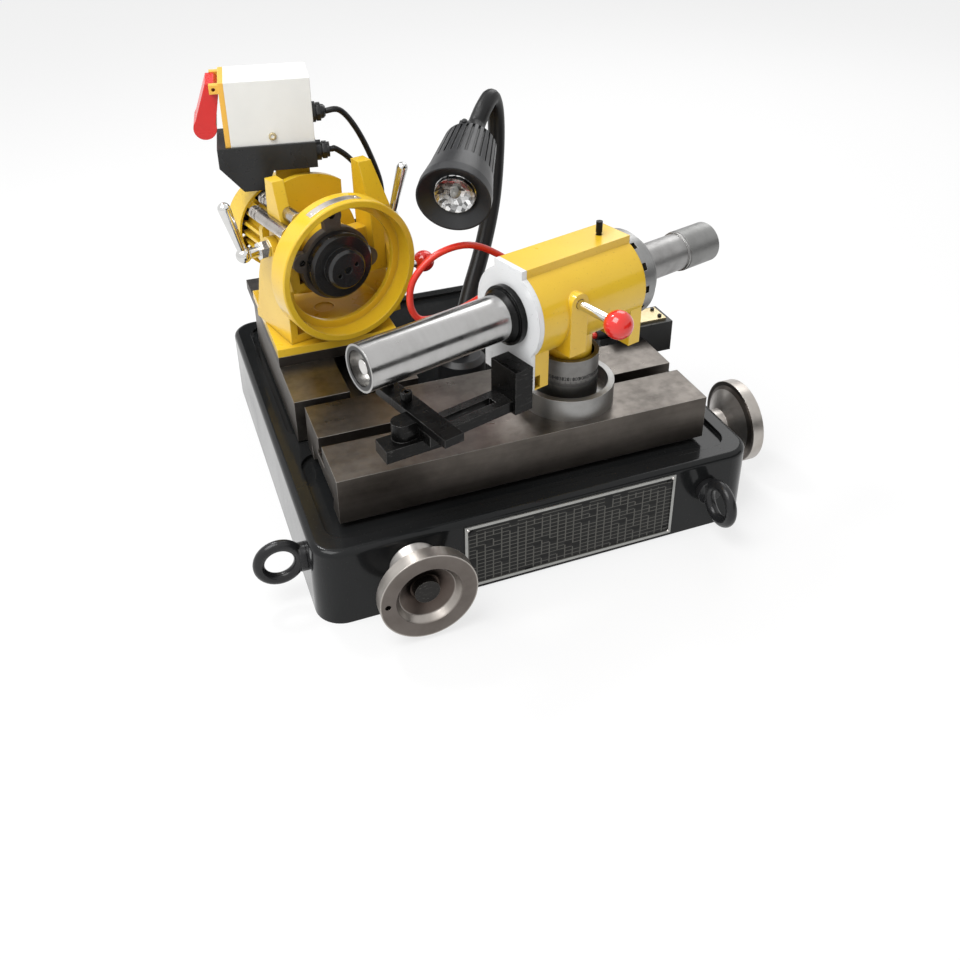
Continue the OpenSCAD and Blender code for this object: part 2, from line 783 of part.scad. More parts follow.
module air_hose() color("red") translate([table_x, table_mid, slide_top]) tube(hose_route, hose_d);

// Lamp on its gooseneck
lamp_pot_d = 60;
lamp_pot_h = 35;
lamp_pot_back = 79.5;
lamp_pot_y = tray_split + lamp_pot_back;
lamp_pot_round = 6;
lamp_rear = [34, 43, 295];
lamp_pitch = 105;
lamp_yaw = 239;
lamp_neck_r = 12;
lamp_neck_len = 8;
lamp_dome_r = 29;
lamp_dome_end = 15;
lamp_rib_r0 = 31;
lamp_rib_r1 = 37;
lamp_rib_start = 18;
lamp_rib_end = 80;
lamp_rib_n = 28;
lamp_rib_w = 2.6;
lamp_rib_deep = 2.5;
lamp_seat = 94;
lamp_lip = 2;
bowl_h = 12;
bowl_wall = 2;
lens_t = 3;
neck_lead = 14;
lamp_dir = [sin(lamp_pitch) * cos(lamp_yaw), sin(lamp_pitch) * sin(lamp_yaw), cos(lamp_pitch)];
// Route of the gooseneck, from the foot of the lamp
neck_route = [[0, 0, lamp_pot_h], [0, 0, lamp_pot_h + neck_d / 2], [0, 0, lamp_pot_h + neck_d],
    [6, 9, 74], [24, 31, 102], [50, 56, 145], [72, 78, 199], [84, 95, 256], [86, 101, 300], [77, 92, 324],
    [62, 78, 318], lamp_rear - 2 * neck_lead * lamp_dir, lamp_rear - neck_lead * lamp_dir, lamp_rear];

// Wheel head, in a frame with Y to the rear along the grinding spindle and Z = 0 on its axis
head_back = 150;
riser_end = 304;
foot_start = 81;
foot_end = 247;
head_y = cross_front + head_back;
riser_rear = cross_front + riser_end;
foot_front = cross_front + foot_start;
foot_rear = cross_front + foot_end;
foot_pin_d = 24;
foot_stud_d = 10;
foot_stud_h = 5;
foot_stud_in = 16;
yoke_left = 67.5;
yoke_right = 81.5;
yoke_wall = 9;
yoke_plate_t = 10;
yoke_front = -46;
yoke_rear = 46;
yoke_shoulder = -20;
yoke_round = 14;
trunnion_y = -8;
trunnion_z = 22;
trunnion_d = 12;
housing_front = -36;
housing_rear = 25;
flange_r = 66;
flange_t = 8;
arch_r = 86;
arch_left = 30;
arch_right = 50;
ear_t = 14.15;
ear_flare = 12;
ear_top_in = 6.5;
ear_top_out = 4;
ear_top = 103;
ear_top_front = -18;
ear_top_rear = 0;
ear_knee = 50;
ear_front = -34;
ear_rear = 8;
ear_low = -30;
rod_d = 16;
rod_front = -50;
rod_rear = 34;
rod_groove = 1;
rod_groove_w = 3;
rod_places = [[-46, 66], [-60, 52]];
guard_front = -80;
guard_flange_t = 6;
guard_flange_w = 9;
guard_lip = 3;
bearing_t = 10;
bearing_r = 44;
lobe_tops = [70, 56, 54];
lobe_turns = [92, 166, 354];
lobe_w = 24;
lobe_arm_w = 20;
lobe_hole_d = 8;
lobe_hole_in = 11;
shaft_d = 24;
shaft_relief = 1.5;
shaft_tail_d = 16;
hub_t = 13;
hub_boss_d = 48;
hub_boss_t = 12;
hub_round = 3;
hub_bore_deep = 9;
hub_pin_d = 5;
hub_pin_r = 12;
hub_pin_deep = 6;
hub_socket_d = 9;
motor_core_r = 43;
fin_n = 24;
fin_t = 4;
motor_pad_w = 40;
motor_pad_d = 46;
motor_pad_x = 8;
motor_box_w = 18;
motor_box_y = 43;
motor_box_z = -12;
cover_r = 57;
cover_wall = 3;
cover_lap = 8;
cover_lug_w = 14;
cover_slot_n = 16;
cover_slot_w = 5;
cover_slot_r0 = 18;
fan_r = 44;
fan_t = 4;
blade_n = 8;
blade_h = 9;
blade_t = 3;
box_y = 70;
box_top = 124;
box_left = 75;
box_right = 37;
box_d = 80;
box_seat = 94;
box_low = 71;
box_side = 101;
box_pocket_start = 14;
box_pocket_in = 24;
box_pocket_end = 50;
switch_left = 59;
switch_right = 36;
switch_d = 74;
switch_h = 74;
switch_screw_d = 8;
switch_screw_t = 2;
switch_screw_up = 10;
plate_out = 6;
gland_d = 18;
gland_len = 16;
gland_nut_d = 24;
gland_nut_t = 6;
gland_high = 154;
gland_low = 108;
gland_fore = 20;
lead_d = 7;
paddle_w = 52;
paddle_low = 132;
paddle_top = 196;
paddle_t = 9;
paddle_out = 28;
paddle_round = 13;
paddle_pin_d = 8;
paddle_ear = 10;
nut_across = 22;
clamp_nut_t = 11;
clamp_ball_d = 18;
clamp_tip_d = 14;
clamp_root_d = 9;
clamp_rise = 62;
clamp_splay = 16;
left_ball_out = 97;
right_ball_out = 98;
right_lean = 5;
swivel_rod_d = 9;
swivel_rod_len = 43;
swivel_ball_d = 27;
swivel_rod_y = -36;
swivel_rod_z = -36;

yoke_z0 = riser_t + foot_t + gap - head_h;
wall_left = yoke_left - yoke_wall;
wall_right = yoke_right - yoke_wall;
ear_left = wall_left - gap;
ear_right = wall_right - gap;
ear_step = trunnion_z + yoke_round + over;
bearing_front = housing_front - bearing_t;
hub_rear = bearing_front - over;
hub_front = hub_rear - hub_t;
motor_front = housing_rear + flange_t;
motor_rear = motor_front + motor_len;
cover_rear = motor_rear - cover_lap + fan_cover_len;
fan_y = motor_rear + 2 * fan_t;
box_angle = switch_turn;
function box_point(v) = [v[0] * cos(box_angle) - v[1] * sin(box_angle),
    box_y + v[0] * sin(box_angle) + v[1] * cos(box_angle), v[2]];
high_lead = [box_point([switch_right + gland_len, -gland_fore, gland_high]),
    box_point([switch_right + 2 * gland_len, -gland_fore, gland_high]), [76, 32, 131], [97, 38, 93],
    [115, 44, 46], [119, 54, 12], [106, 66, -8], [86, motor_front + motor_box_y, motor_box_z],
    [68, motor_front + motor_box_y, motor_box_z], [motor_r + fin_t, motor_front + motor_box_y, motor_box_z]];
low_lead = [box_point([box_right + gland_len, -gland_fore, gland_low]),
    box_point([box_right + gland_len + lead_d / 2, -gland_fore, gland_low]),
    box_point([box_right + gland_len + lead_d, -gland_fore, gland_low]), [62, 29, 96], [77, 34, 78],
    [88, 44, 54], [88, 60, 28], [74, motor_front + motor_box_y, motor_box_w / 2],
    [64, motor_front + motor_box_y, motor_box_w / 2],
    [motor_r + fin_t, motor_front + motor_box_y, motor_box_w / 2]];

module at_head() {
    translate([cross_x, head_y, slide_top + head_h]) rotate([0, 0, head_turn]) children();
}

module at_box() {
    at_head() translate([0, box_y, 0]) rotate([0, 0, box_angle]) children();
}

module at_trunnion() {
    at_head() translate([0, trunnion_y, trunnion_z]) children();
}

// Bar along the grinding spindle between two places on it
module bar(y0, y1, r) {
    translate([0, y0, 0]) rotate([-90, 0, 0]) cylinder(h = y1 - y0, r = r);
}

module lamp_base() color([0.05, 0.05, 0.05]) translate([0, lamp_pot_y, tray_floor]) {
    cylinder(h = lamp_pot_h - lamp_pot_round, d = lamp_pot_d);
    translate([0, 0, lamp_pot_h - lamp_pot_round])
        cylinder(h = lamp_pot_round, d1 = lamp_pot_d, d2 = lamp_pot_d - 2 * lamp_pot_round);
}

module gooseneck() color([0.05, 0.05, 0.05]) translate([0, lamp_pot_y, tray_floor]) tube(neck_route, neck_d);

module at_lamp() {
    translate([0, lamp_pot_y, tray_floor]) translate(lamp_rear) rotate([0, lamp_pitch, lamp_yaw]) children();
}

module lamp_head() color([0.05, 0.05, 0.05]) at_lamp() difference() {
    rotate_extrude() polygon([[0, 0], [lamp_neck_r, 0], [lamp_neck_r, lamp_neck_len],
        [lamp_dome_r, lamp_dome_end], [lamp_rib_r0, lamp_rib_start], [lamp_rib_r1, lamp_rib_end],
        [lamp_d / 2, lamp_len - lamp_neck_r], [lamp_d / 2, lamp_len], [lamp_d / 2 - lamp_lip, lamp_len],
        [lens_d / 2 + fit, lamp_seat + bowl_h + lens_t], [lens_d / 2 + fit, lamp_seat], [0, lamp_seat]]);
    for (k = [0 : lamp_rib_n - 1])
        rotate([0, 0, 360 * k / lamp_rib_n])
            translate([lamp_rib_r0 - lamp_rib_deep, -lamp_rib_w / 2, lamp_rib_start])
                rotate([0, atan((lamp_rib_r1 - lamp_rib_r0) / (lamp_rib_end - lamp_rib_start)), 0])
                    cube([lamp_rib_r0, lamp_rib_w, lamp_rib_end - lamp_rib_start]);
}

module lamp_reflector() color("silver") at_lamp() translate([0, 0, lamp_seat])
    rotate_extrude() polygon([[0, 0], [lens_d / 2, 0], [lens_d / 2, bowl_h], [lens_d / 2 - bowl_wall, bowl_h],
        [lens_d / 4, 2 * bowl_wall], [0, bowl_wall]]);

module lamp_lens() color("white") at_lamp() translate([0, 0, lamp_seat + bowl_h])
    cylinder(h = lens_t, d = lens_d);

module riser_plate() color("dimgray")
    span([cross_x - slide_w / 2, foot_front, slide_top],
        [cross_x + slide_w / 2, riser_rear, slide_top + riser_t]);

module wheelhead_foot() color("gold") {
    z0 = slide_top + riser_t;
    span([cross_x - slide_w / 2, foot_front, z0], [cross_x + slide_w / 2, foot_rear, z0 + foot_t]);
    translate([cross_x, head_y, z0]) cylinder(h = foot_t + yoke_plate_t - over, d = foot_pin_d);
    translate([cross_x + foot_stud_in - slide_w / 2, foot_rear - foot_stud_in, z0])
        cylinder(h = foot_t + foot_stud_h, d = foot_stud_d);
}

module yoke() color("gold") at_head() difference() {
    union() {
        span([-yoke_left, yoke_front, yoke_z0], [yoke_right, yoke_rear, yoke_z0 + yoke_plate_t]);
        for (x = [-yoke_left, wall_right])
            translate([x, 0, 0]) {
                rotate([90, 0, 90]) linear_extrude(height = yoke_wall)
                    polygon([[yoke_front, yoke_z0], [yoke_rear, yoke_z0],
                        [yoke_rear + yoke_shoulder, yoke_shoulder], [trunnion_y + yoke_round, trunnion_z],
                        [trunnion_y - yoke_round, trunnion_z], [yoke_front, yoke_shoulder]]);
                translate([0, trunnion_y, trunnion_z]) rotate([0, 90, 0])
                    cylinder(h = yoke_wall, r = yoke_round);
            }
    }
    translate([0, 0, yoke_z0 - over]) cylinder(h = yoke_plate_t + 2 * over, d = foot_pin_d + 2 * fit);
    translate([-yoke_left - over, trunnion_y, trunnion_z]) rotate([0, 90, 0])
        cylinder(h = yoke_left + yoke_right + 2 * over, d = trunnion_d + 2 * gap);
    translate([wall_right - over, swivel_rod_y, swivel_rod_z]) rotate([0, 90, 0])
        cylinder(h = yoke_wall + 2 * over, d = swivel_rod_d + 2 * gap);
}

// Upright ear of the head between two places on X, seen along X
module ear(x0, x1) {
    translate([x0, 0, 0]) rotate([90, 0, 90]) linear_extrude(height = x1 - x0)
        polygon([[ear_top_front, ear_top], [ear_top_rear, ear_top], [ear_rear, ear_low], [ear_front, ear_low],
            [ear_front, ear_knee]]);
}

// Right ear, which flares out over the yoke
module flared_ear() {
    x0 = ear_right - ear_t;
    intersection() {
        ear(x0 - ear_top_in, ear_right + ear_flare);
        translate([0, ear_rear, 0]) rotate([90, 0, 0]) linear_extrude(height = ear_rear - ear_front)
            polygon([[x0, ear_low], [ear_right, ear_low], [ear_right, ear_step],
                [ear_right + ear_flare, ear_step], [ear_right - ear_top_out, ear_top],
                [x0 - ear_top_in, ear_top]]);
    }
}

module head_casting() color("gold") at_head() difference() {
    union() {
        bar(housing_front, motor_front, housing_r);
        intersection() {
            bar(housing_rear, motor_front, flange_r);
            span([-ear_left, housing_rear, -flange_r], [ear_right, motor_front, flange_r]);
        }
        intersection() {
            bar(housing_rear, motor_front, arch_r);
            span([-arch_left, housing_rear, 0], [arch_right, motor_front, arch_r]);
        }
        flared_ear();
        ear(-ear_left, ear_t - ear_left);
        span([-ear_left, ear_front, ear_low], [ear_right, ear_rear, ear_low + yoke_plate_t]);
        span([-ear_left, ear_top_front, 0], [ear_right, ear_top_rear, trunnion_z]);
    }
    bar(housing_front - over, motor_front + over, shaft_d / 2 + shaft_relief);
    for (p = rod_places)
        translate([p[0], 0, p[1]]) bar(rod_front, rod_rear, rod_d / 2 + fit);
    for (x = [-ear_left, ear_right - ear_t])
        translate([x - over, trunnion_y, trunnion_z]) rotate([0, 90, 0])
            cylinder(h = ear_t + 2 * over, d = trunnion_d + 2 * gap);
}

module guard_rods() color("silver") at_head()
    for (p = rod_places)
        translate([p[0], 0, p[1]]) difference() {
            bar(rod_front, rod_rear, rod_d / 2);
            for (y = [rod_rear - rod_d, rod_rear - rod_d / 2])
                translate([0, y, 0]) rotate([-90, 0, 0]) difference() {
                    cylinder(h = rod_groove_w, d = rod_d + over);
                    translate([0, 0, -over]) cylinder(h = rod_groove_w + 2 * over, d = rod_d - 2 * rod_groove);
                }
        }

module guard_ring() color("gold") at_head() translate([0, guard_front, 0]) rotate([-90, 0, 0])
    rotate_extrude() polygon([[guard_r - guard_wall, 0], [guard_r - guard_lip / 2, 0], [guard_r, guard_lip / 2],
        [guard_r, guard_t], [guard_r - guard_wall - guard_flange_w, guard_t],
        [guard_r - guard_wall - guard_flange_w, guard_t - guard_flange_t],
        [guard_r - guard_wall, guard_t - guard_flange_t]]);

module bearing_cap() color([0.18, 0.16, 0.15]) at_head() translate([0, housing_front, 0]) rotate([90, 0, 0])
    linear_extrude(height = bearing_t) difference() {
        union() {
            circle(r = bearing_r);
            for (k = [0 : len(lobe_turns) - 1])
                rotate(lobe_turns[k]) {
                    translate([0, -lobe_arm_w / 2]) square([lobe_tops[k] - lobe_w / 2, lobe_arm_w]);
                    translate([lobe_tops[k] - lobe_w / 2, 0]) circle(d = lobe_w);
                }
        }
        circle(r = shaft_d / 2 + fit);
        for (k = [0 : len(lobe_turns) - 1])
            rotate(lobe_turns[k]) translate([lobe_tops[k] - lobe_hole_in, 0]) circle(d = lobe_hole_d);
    }

module motor_shaft() color("silver") at_head() {
    bar(hub_rear - hub_bore_deep, fan_y, shaft_d / 2);
    bar(fan_y, fan_y + fan_t + blade_h, shaft_tail_d / 2);
}

module wheel_hub() color([0.03, 0.03, 0.03]) at_head() difference() {
    y0 = hub_front - hub_boss_t;
    translate([0, y0, 0]) rotate([-90, 0, 0]) rotate_extrude()
        polygon([[0, 0], [hub_boss_d / 2 - hub_round, 0], [hub_boss_d / 2, hub_round],
            [hub_boss_d / 2, hub_boss_t], [hub_r - hub_round, hub_boss_t], [hub_r, hub_boss_t + hub_round],
            [hub_r, hub_boss_t + hub_t], [0, hub_boss_t + hub_t]]);
    bar(hub_rear - hub_bore_deep, hub_rear + over, shaft_d / 2 + fit);
    bar(y0 - over, y0 + hub_pin_deep, hub_socket_d / 2);
    for (s = [-1, 1])
        rotate([0, switch_turn, 0]) translate([s * hub_pin_r, 0, 0])
            bar(y0 - over, y0 + hub_pin_deep, hub_pin_d / 2);
}

module motor_body() color("gold") at_head() difference() {
    root = motor_core_r - fin_t;
    cover_in = cover_r - cover_wall - fit;
    lug_out = sqrt(cover_in * cover_in - cover_lug_w * cover_lug_w / 4);
    union() {
        bar(motor_front, motor_rear, motor_core_r);
        for (k = [0 : fin_n - 1])
            rotate([0, 360 * k / fin_n, 0])
                span([root, motor_front, -fin_t / 2], [motor_r, motor_rear, fin_t / 2]);
        for (a = [45, 135, 225, 315])
            rotate([0, a, 0]) span([root, motor_rear - cover_lap, -cover_lug_w / 2],
                [lug_out, motor_rear, cover_lug_w / 2]);
        span([0, motor_front + motor_box_y - motor_box_w, motor_box_z - motor_box_w],
            [motor_r + fin_t, motor_front + motor_box_y + motor_box_w, motor_box_w]);
        translate([0, box_y, 0]) rotate([0, 0, box_angle])
            span([motor_pad_x - motor_pad_w / 2, -motor_pad_d / 2, 0],
                [motor_pad_x + motor_pad_w / 2, motor_pad_d / 2, box_seat]);
    }
    bar(motor_front - over, motor_rear + over, shaft_d / 2 + shaft_relief);
}

module fan_cover() color("gold") at_head() {
    y0 = motor_rear - cover_lap;
    difference() {
        bar(y0, cover_rear, cover_r);
        bar(y0 - over, cover_rear - cover_wall, cover_r - cover_wall);
        for (k = [0 : cover_slot_n - 1])
            rotate([0, 360 * k / cover_slot_n, 0])
                span([cover_slot_r0, cover_rear - cover_wall - over, -cover_slot_w / 2],
                    [cover_r - cover_lap, cover_rear + over, cover_slot_w / 2]);
    }
}

module cooling_fan() color([0.1, 0.1, 0.1]) at_head() difference() {
    union() {
        bar(fan_y, fan_y + fan_t, fan_r);
        bar(fan_y, fan_y + fan_t + blade_h, shaft_d / 2 + blade_t);
        for (k = [0 : blade_n - 1])
            rotate([0, 360 * k / blade_n, 0])
                span([0, fan_y, -blade_t / 2], [fan_r - blade_t, fan_y + fan_t + blade_h, blade_t / 2]);
    }
    bar(fan_y - over, fan_y + fan_t + blade_h + over, shaft_tail_d / 2 + fit);
}

module terminal_box() color([0.05, 0.05, 0.05]) at_box() {
    translate([0, box_d / 2, 0]) rotate([90, 0, 0]) linear_extrude(height = box_d)
        polygon([[-box_left, box_top], [box_right, box_top], [box_right, box_seat],
            [-box_pocket_start, box_seat], [-box_pocket_in, box_low], [-box_pocket_end, box_low],
            [-box_left, box_side]]);
    translate([box_right, -gland_fore, gland_low]) rotate([0, 90, 0]) {
        cylinder(h = gland_len, d = gland_d);
        cylinder(h = gland_nut_t, d = gland_nut_d);
    }
}

module switch_box() color("gainsboro") at_box() {
    span([-switch_left, -switch_d / 2, box_top], [switch_right, switch_d / 2, box_top + switch_h]);
    translate([(switch_right - switch_left) / 2, -switch_d / 2, box_top + switch_screw_up]) rotate([90, 0, 0])
        cylinder(h = switch_screw_t, d = switch_screw_d);
}

module switch_plate() color("goldenrod") at_box() {
    x1 = -switch_left;
    x0 = x1 - plate_out;
    span([x0, -switch_d / 2, box_top], [x1, switch_d / 2, box_top + switch_h]);
    for (s = [-1, 1])
        translate([0, s * (paddle_w / 2 + gap + paddle_ear / 2) - paddle_ear / 2, 0]) difference() {
            span([x0 - paddle_ear, 0, paddle_top - paddle_ear], [x0, paddle_ear, paddle_top]);
            translate([x0 - paddle_ear / 2, -over, paddle_top - paddle_ear / 2]) rotate([-90, 0, 0])
                cylinder(h = paddle_ear + 2 * over, d = paddle_pin_d / 2 + 2 * fit);
        }
}

module stop_paddle() color("red") at_box() {
    x0 = -switch_left - plate_out - paddle_ear / 2;
    z0 = paddle_top - paddle_ear / 2;
    translate([x0, paddle_w / 2 + paddle_ear / 2, z0]) rotate([90, 0, 0])
        cylinder(h = paddle_w + paddle_ear, d = paddle_pin_d / 2);
    translate([x0, paddle_w / 2, z0]) rotate([90, 0, 0]) linear_extrude(height = paddle_w) {
        polygon([[0, paddle_pin_d / 2], [-paddle_t, paddle_pin_d / 2],
            [-paddle_out, paddle_low - z0 + paddle_round], [paddle_round - paddle_out, paddle_low - z0],
            [-paddle_t / 2, paddle_low - z0 + paddle_t], [paddle_ear / 2 - over, -paddle_ear],
            [paddle_ear / 2 - over, 0]]);
        translate([paddle_round - paddle_out, paddle_low - z0 + paddle_round]) circle(r = paddle_round);
    }
}

module switch_leads() color([0.05, 0.05, 0.05]) {
    at_head() {
        tube(high_lead, lead_d);
        tube(low_lead, lead_d);
    }
    at_box() translate([switch_right, -gland_fore, gland_high]) rotate([0, 90, 0]) {
        cylinder(h = gland_len, d = gland_d);
        cylinder(h = gland_nut_t, d = gland_nut_d);
    }
}

// Clamp bolt with its nut, ball and handle, the bolt along X from its ear to the ball
module clamp_lever(ear_out, nut_at, ball_out) {
    bolt_at = ear_out - ear_t;
    translate([bolt_at, 0, 0]) rotate([0, 90, 0]) cylinder(h = ball_out - bolt_at, d = trunnion_d);
    translate([nut_at + gap, 0, 0]) rotate([0, 90, 0]) cylinder(h = clamp_nut_t, d = nut_across, $fn = 6);
    translate([ball_out, 0, 0]) {
        sphere(d = clamp_ball_d);
        rotate([0, atan(clamp_splay / clamp_rise), 0]) {
            cylinder(h = clamp_rise, d1 = clamp_root_d, d2 = clamp_tip_d);
            translate([0, 0, clamp_rise]) sphere(d = clamp_tip_d);
        }
    }
}

module left_clamp_lever() color("silver") at_trunnion()
    mirror([1, 0, 0]) clamp_lever(ear_left, yoke_left, left_ball_out);

module right_clamp_lever() color("silver") at_trunnion()
    rotate([right_lean, 0, 0]) clamp_lever(ear_right, yoke_right, right_ball_out);

module swivel_lever() color("silver") at_head()
    translate([wall_right, swivel_rod_y, swivel_rod_z]) rotate([0, 90, 0])
        cylinder(h = yoke_wall + swivel_rod_len - swivel_ball_d / 4, d = swivel_rod_d);

module swivel_lever_ball() color("red") at_head()
    translate([yoke_right + swivel_rod_len, swivel_rod_y, swivel_rod_z]) difference() {
        sphere(d = swivel_ball_d);
        rotate([0, -90, 0]) translate([0, 0, swivel_ball_d / 4]) cylinder(h = swivel_ball_d, d = swivel_rod_d);
    }

base_casting();
spec_plate();
eye_bolts();
lamp_base();
gooseneck();
lamp_head();
lamp_reflector();
lamp_lens();
screw_bushes();
table_block();
table_nut();
swivel_base();
air_valve();
valve_cover();
air_hose();
table_handwheel();
table_screw();
cross_slide_block();
cross_nut();
riser_plate();
wheelhead_foot();
cross_handwheel();
cross_screw();
workhead_housing();
front_plate();
swivel_drum();
wiper_collar();
hose_fitting();
rest_bracket();
index_pin();
quill_tube();
spindle_core();
index_plate();
rear_sleeve();
end_cap();
lock_lever();
lock_ball();
rest_arm();
rest_plate();
rest_finger();
rest_screws();
yoke();
head_casting();
motor_body();
fan_cover();
bearing_cap();
guard_ring();
guard_rods();
terminal_box();
switch_box();
switch_plate();
switch_leads();
motor_shaft();
wheel_hub();
cooling_fan();
left_clamp_lever();
right_clamp_lever();
stop_paddle();
swivel_lever();
swivel_lever_ball();
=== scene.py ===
# %% [markdown]
# A bench tool and cutter grinder stands on a pale floor: a glossy black base carries a ground iron table
# with a yellow work head, and a cross slide with a yellow wheel head. The imported model is loaded first,
# because every finish and every added piece is placed on its bodies.

# %% Load the imported model
import math

import bmesh
import bpy
from mathutils import Matrix, Vector


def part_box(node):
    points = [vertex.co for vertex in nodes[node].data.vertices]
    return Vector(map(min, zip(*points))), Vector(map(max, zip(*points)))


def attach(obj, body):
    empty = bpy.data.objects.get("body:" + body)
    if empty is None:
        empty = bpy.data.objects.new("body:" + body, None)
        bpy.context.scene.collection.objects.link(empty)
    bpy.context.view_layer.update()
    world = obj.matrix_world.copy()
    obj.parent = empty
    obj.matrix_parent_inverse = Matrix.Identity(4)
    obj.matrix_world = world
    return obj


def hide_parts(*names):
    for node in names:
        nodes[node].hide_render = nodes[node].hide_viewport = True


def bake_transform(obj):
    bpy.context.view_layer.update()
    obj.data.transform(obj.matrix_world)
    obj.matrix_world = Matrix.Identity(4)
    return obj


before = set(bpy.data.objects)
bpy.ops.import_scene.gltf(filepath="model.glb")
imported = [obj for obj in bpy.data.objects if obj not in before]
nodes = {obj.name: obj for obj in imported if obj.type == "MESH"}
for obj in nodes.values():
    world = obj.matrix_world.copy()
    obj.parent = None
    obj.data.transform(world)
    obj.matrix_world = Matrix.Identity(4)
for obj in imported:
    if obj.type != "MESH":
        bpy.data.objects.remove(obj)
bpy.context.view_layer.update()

# %% [markdown]
# The photograph was taken from above the left front corner with a short lens. The camera is set from the
# directions that its picture gives: right, up and backwards are the three columns of its matrix. The picture
# was cropped, so the optical axis isn't in its middle, and the lens is shifted by that much.

# %% Camera
RIGHT = Vector((0.93362, -0.35822, -0.00641))
UP = Vector((0.18090, 0.45588, 0.87147))
FORWARD = Vector((0.30925, 0.81477, -0.49042))
EYE = Vector((-0.36105, -1.00205, 0.7505))
camera_data = bpy.data.cameras.new("camera")
camera_data.sensor_width = 36.0
camera_data.lens = 37.65
camera_data.shift_y = -0.1477
camera = bpy.data.objects.new("camera", camera_data)
bpy.context.scene.collection.objects.link(camera)
camera.matrix_world = Matrix.Translation(EYE) @ Matrix((RIGHT, UP, -FORWARD)).transposed().to_4x4()
bpy.context.scene.camera = camera
print("camera:", [round(v, 3) for v in camera.location], "lens:", camera_data.lens)

# %% [markdown]
# The work head and the wheel head stand turned on their slides, and the lamp hangs at a slant. Each has its
# own frame, a matrix from its own axes to the machine's, so that a piece can be drawn square and then set
# in place: the work head's X runs along its spindle, the wheel head's Y along the grinding spindle, and the
# lamp's Z out of its mouth.


# %% Frames of the turned groups
def turned(x, y, z, degrees):
    return Matrix.Translation((x, y, z)) @ Matrix.Rotation(math.radians(degrees), 4, "Z")


WORK_PLACE, WORK_TURN = (0.063, -0.155, 0.277), 16.3
HEAD_PLACE, HEAD_TURN = (-0.151, 0.092, 0.256), 15.0
LAMP_PLACE, LAMP_PITCH, LAMP_YAW = (0.034, 0.058, 0.382), 105.0, 239.0
SWITCH_BACK, SWITCH_TURN = 0.070, -23.0
WORK = turned(*WORK_PLACE, WORK_TURN)
HEAD = turned(*HEAD_PLACE, HEAD_TURN)
SWITCH = HEAD @ turned(0, SWITCH_BACK, 0, SWITCH_TURN)
LAMP = turned(*LAMP_PLACE, LAMP_YAW) @ Matrix.Rotation(math.radians(LAMP_PITCH), 4, "Y")
print("work head at", WORK_PLACE, "wheel head at", HEAD_PLACE)

# %% [markdown]
# Shader maths reads best as sums, so one small class wraps a socket: an expression such as 1 - mask adds
# its Math nodes, and a comparison gives a mask of 0 and 1.


# %% Shader values
class Wire:
    """A socket of a shader, used like a number."""

    def __init__(self, finish, socket):
        self.finish, self.socket = finish, socket

    def math(self, operation, *values):
        return self.finish.node("ShaderNodeMath", {"operation": operation}, dict(enumerate(values)))

    def __add__(self, other):
        return self.math("ADD", self, other)

    def __radd__(self, other):
        return self.math("ADD", other, self)

    def __sub__(self, other):
        return self.math("SUBTRACT", self, other)

    def __rsub__(self, other):
        return self.math("SUBTRACT", other, self)

    def __mul__(self, other):
        return self.math("MULTIPLY", self, other)

    def __rmul__(self, other):
        return self.math("MULTIPLY", other, self)

    def __truediv__(self, other):
        return self.math("DIVIDE", self, other)

    def __lt__(self, other):
        return self.math("LESS_THAN", self, other)

    def __gt__(self, other):
        return self.math("GREATER_THAN", self, other)

    def __mod__(self, other):
        return self.math("FLOORED_MODULO", self, other)


print("a shader value is ready")
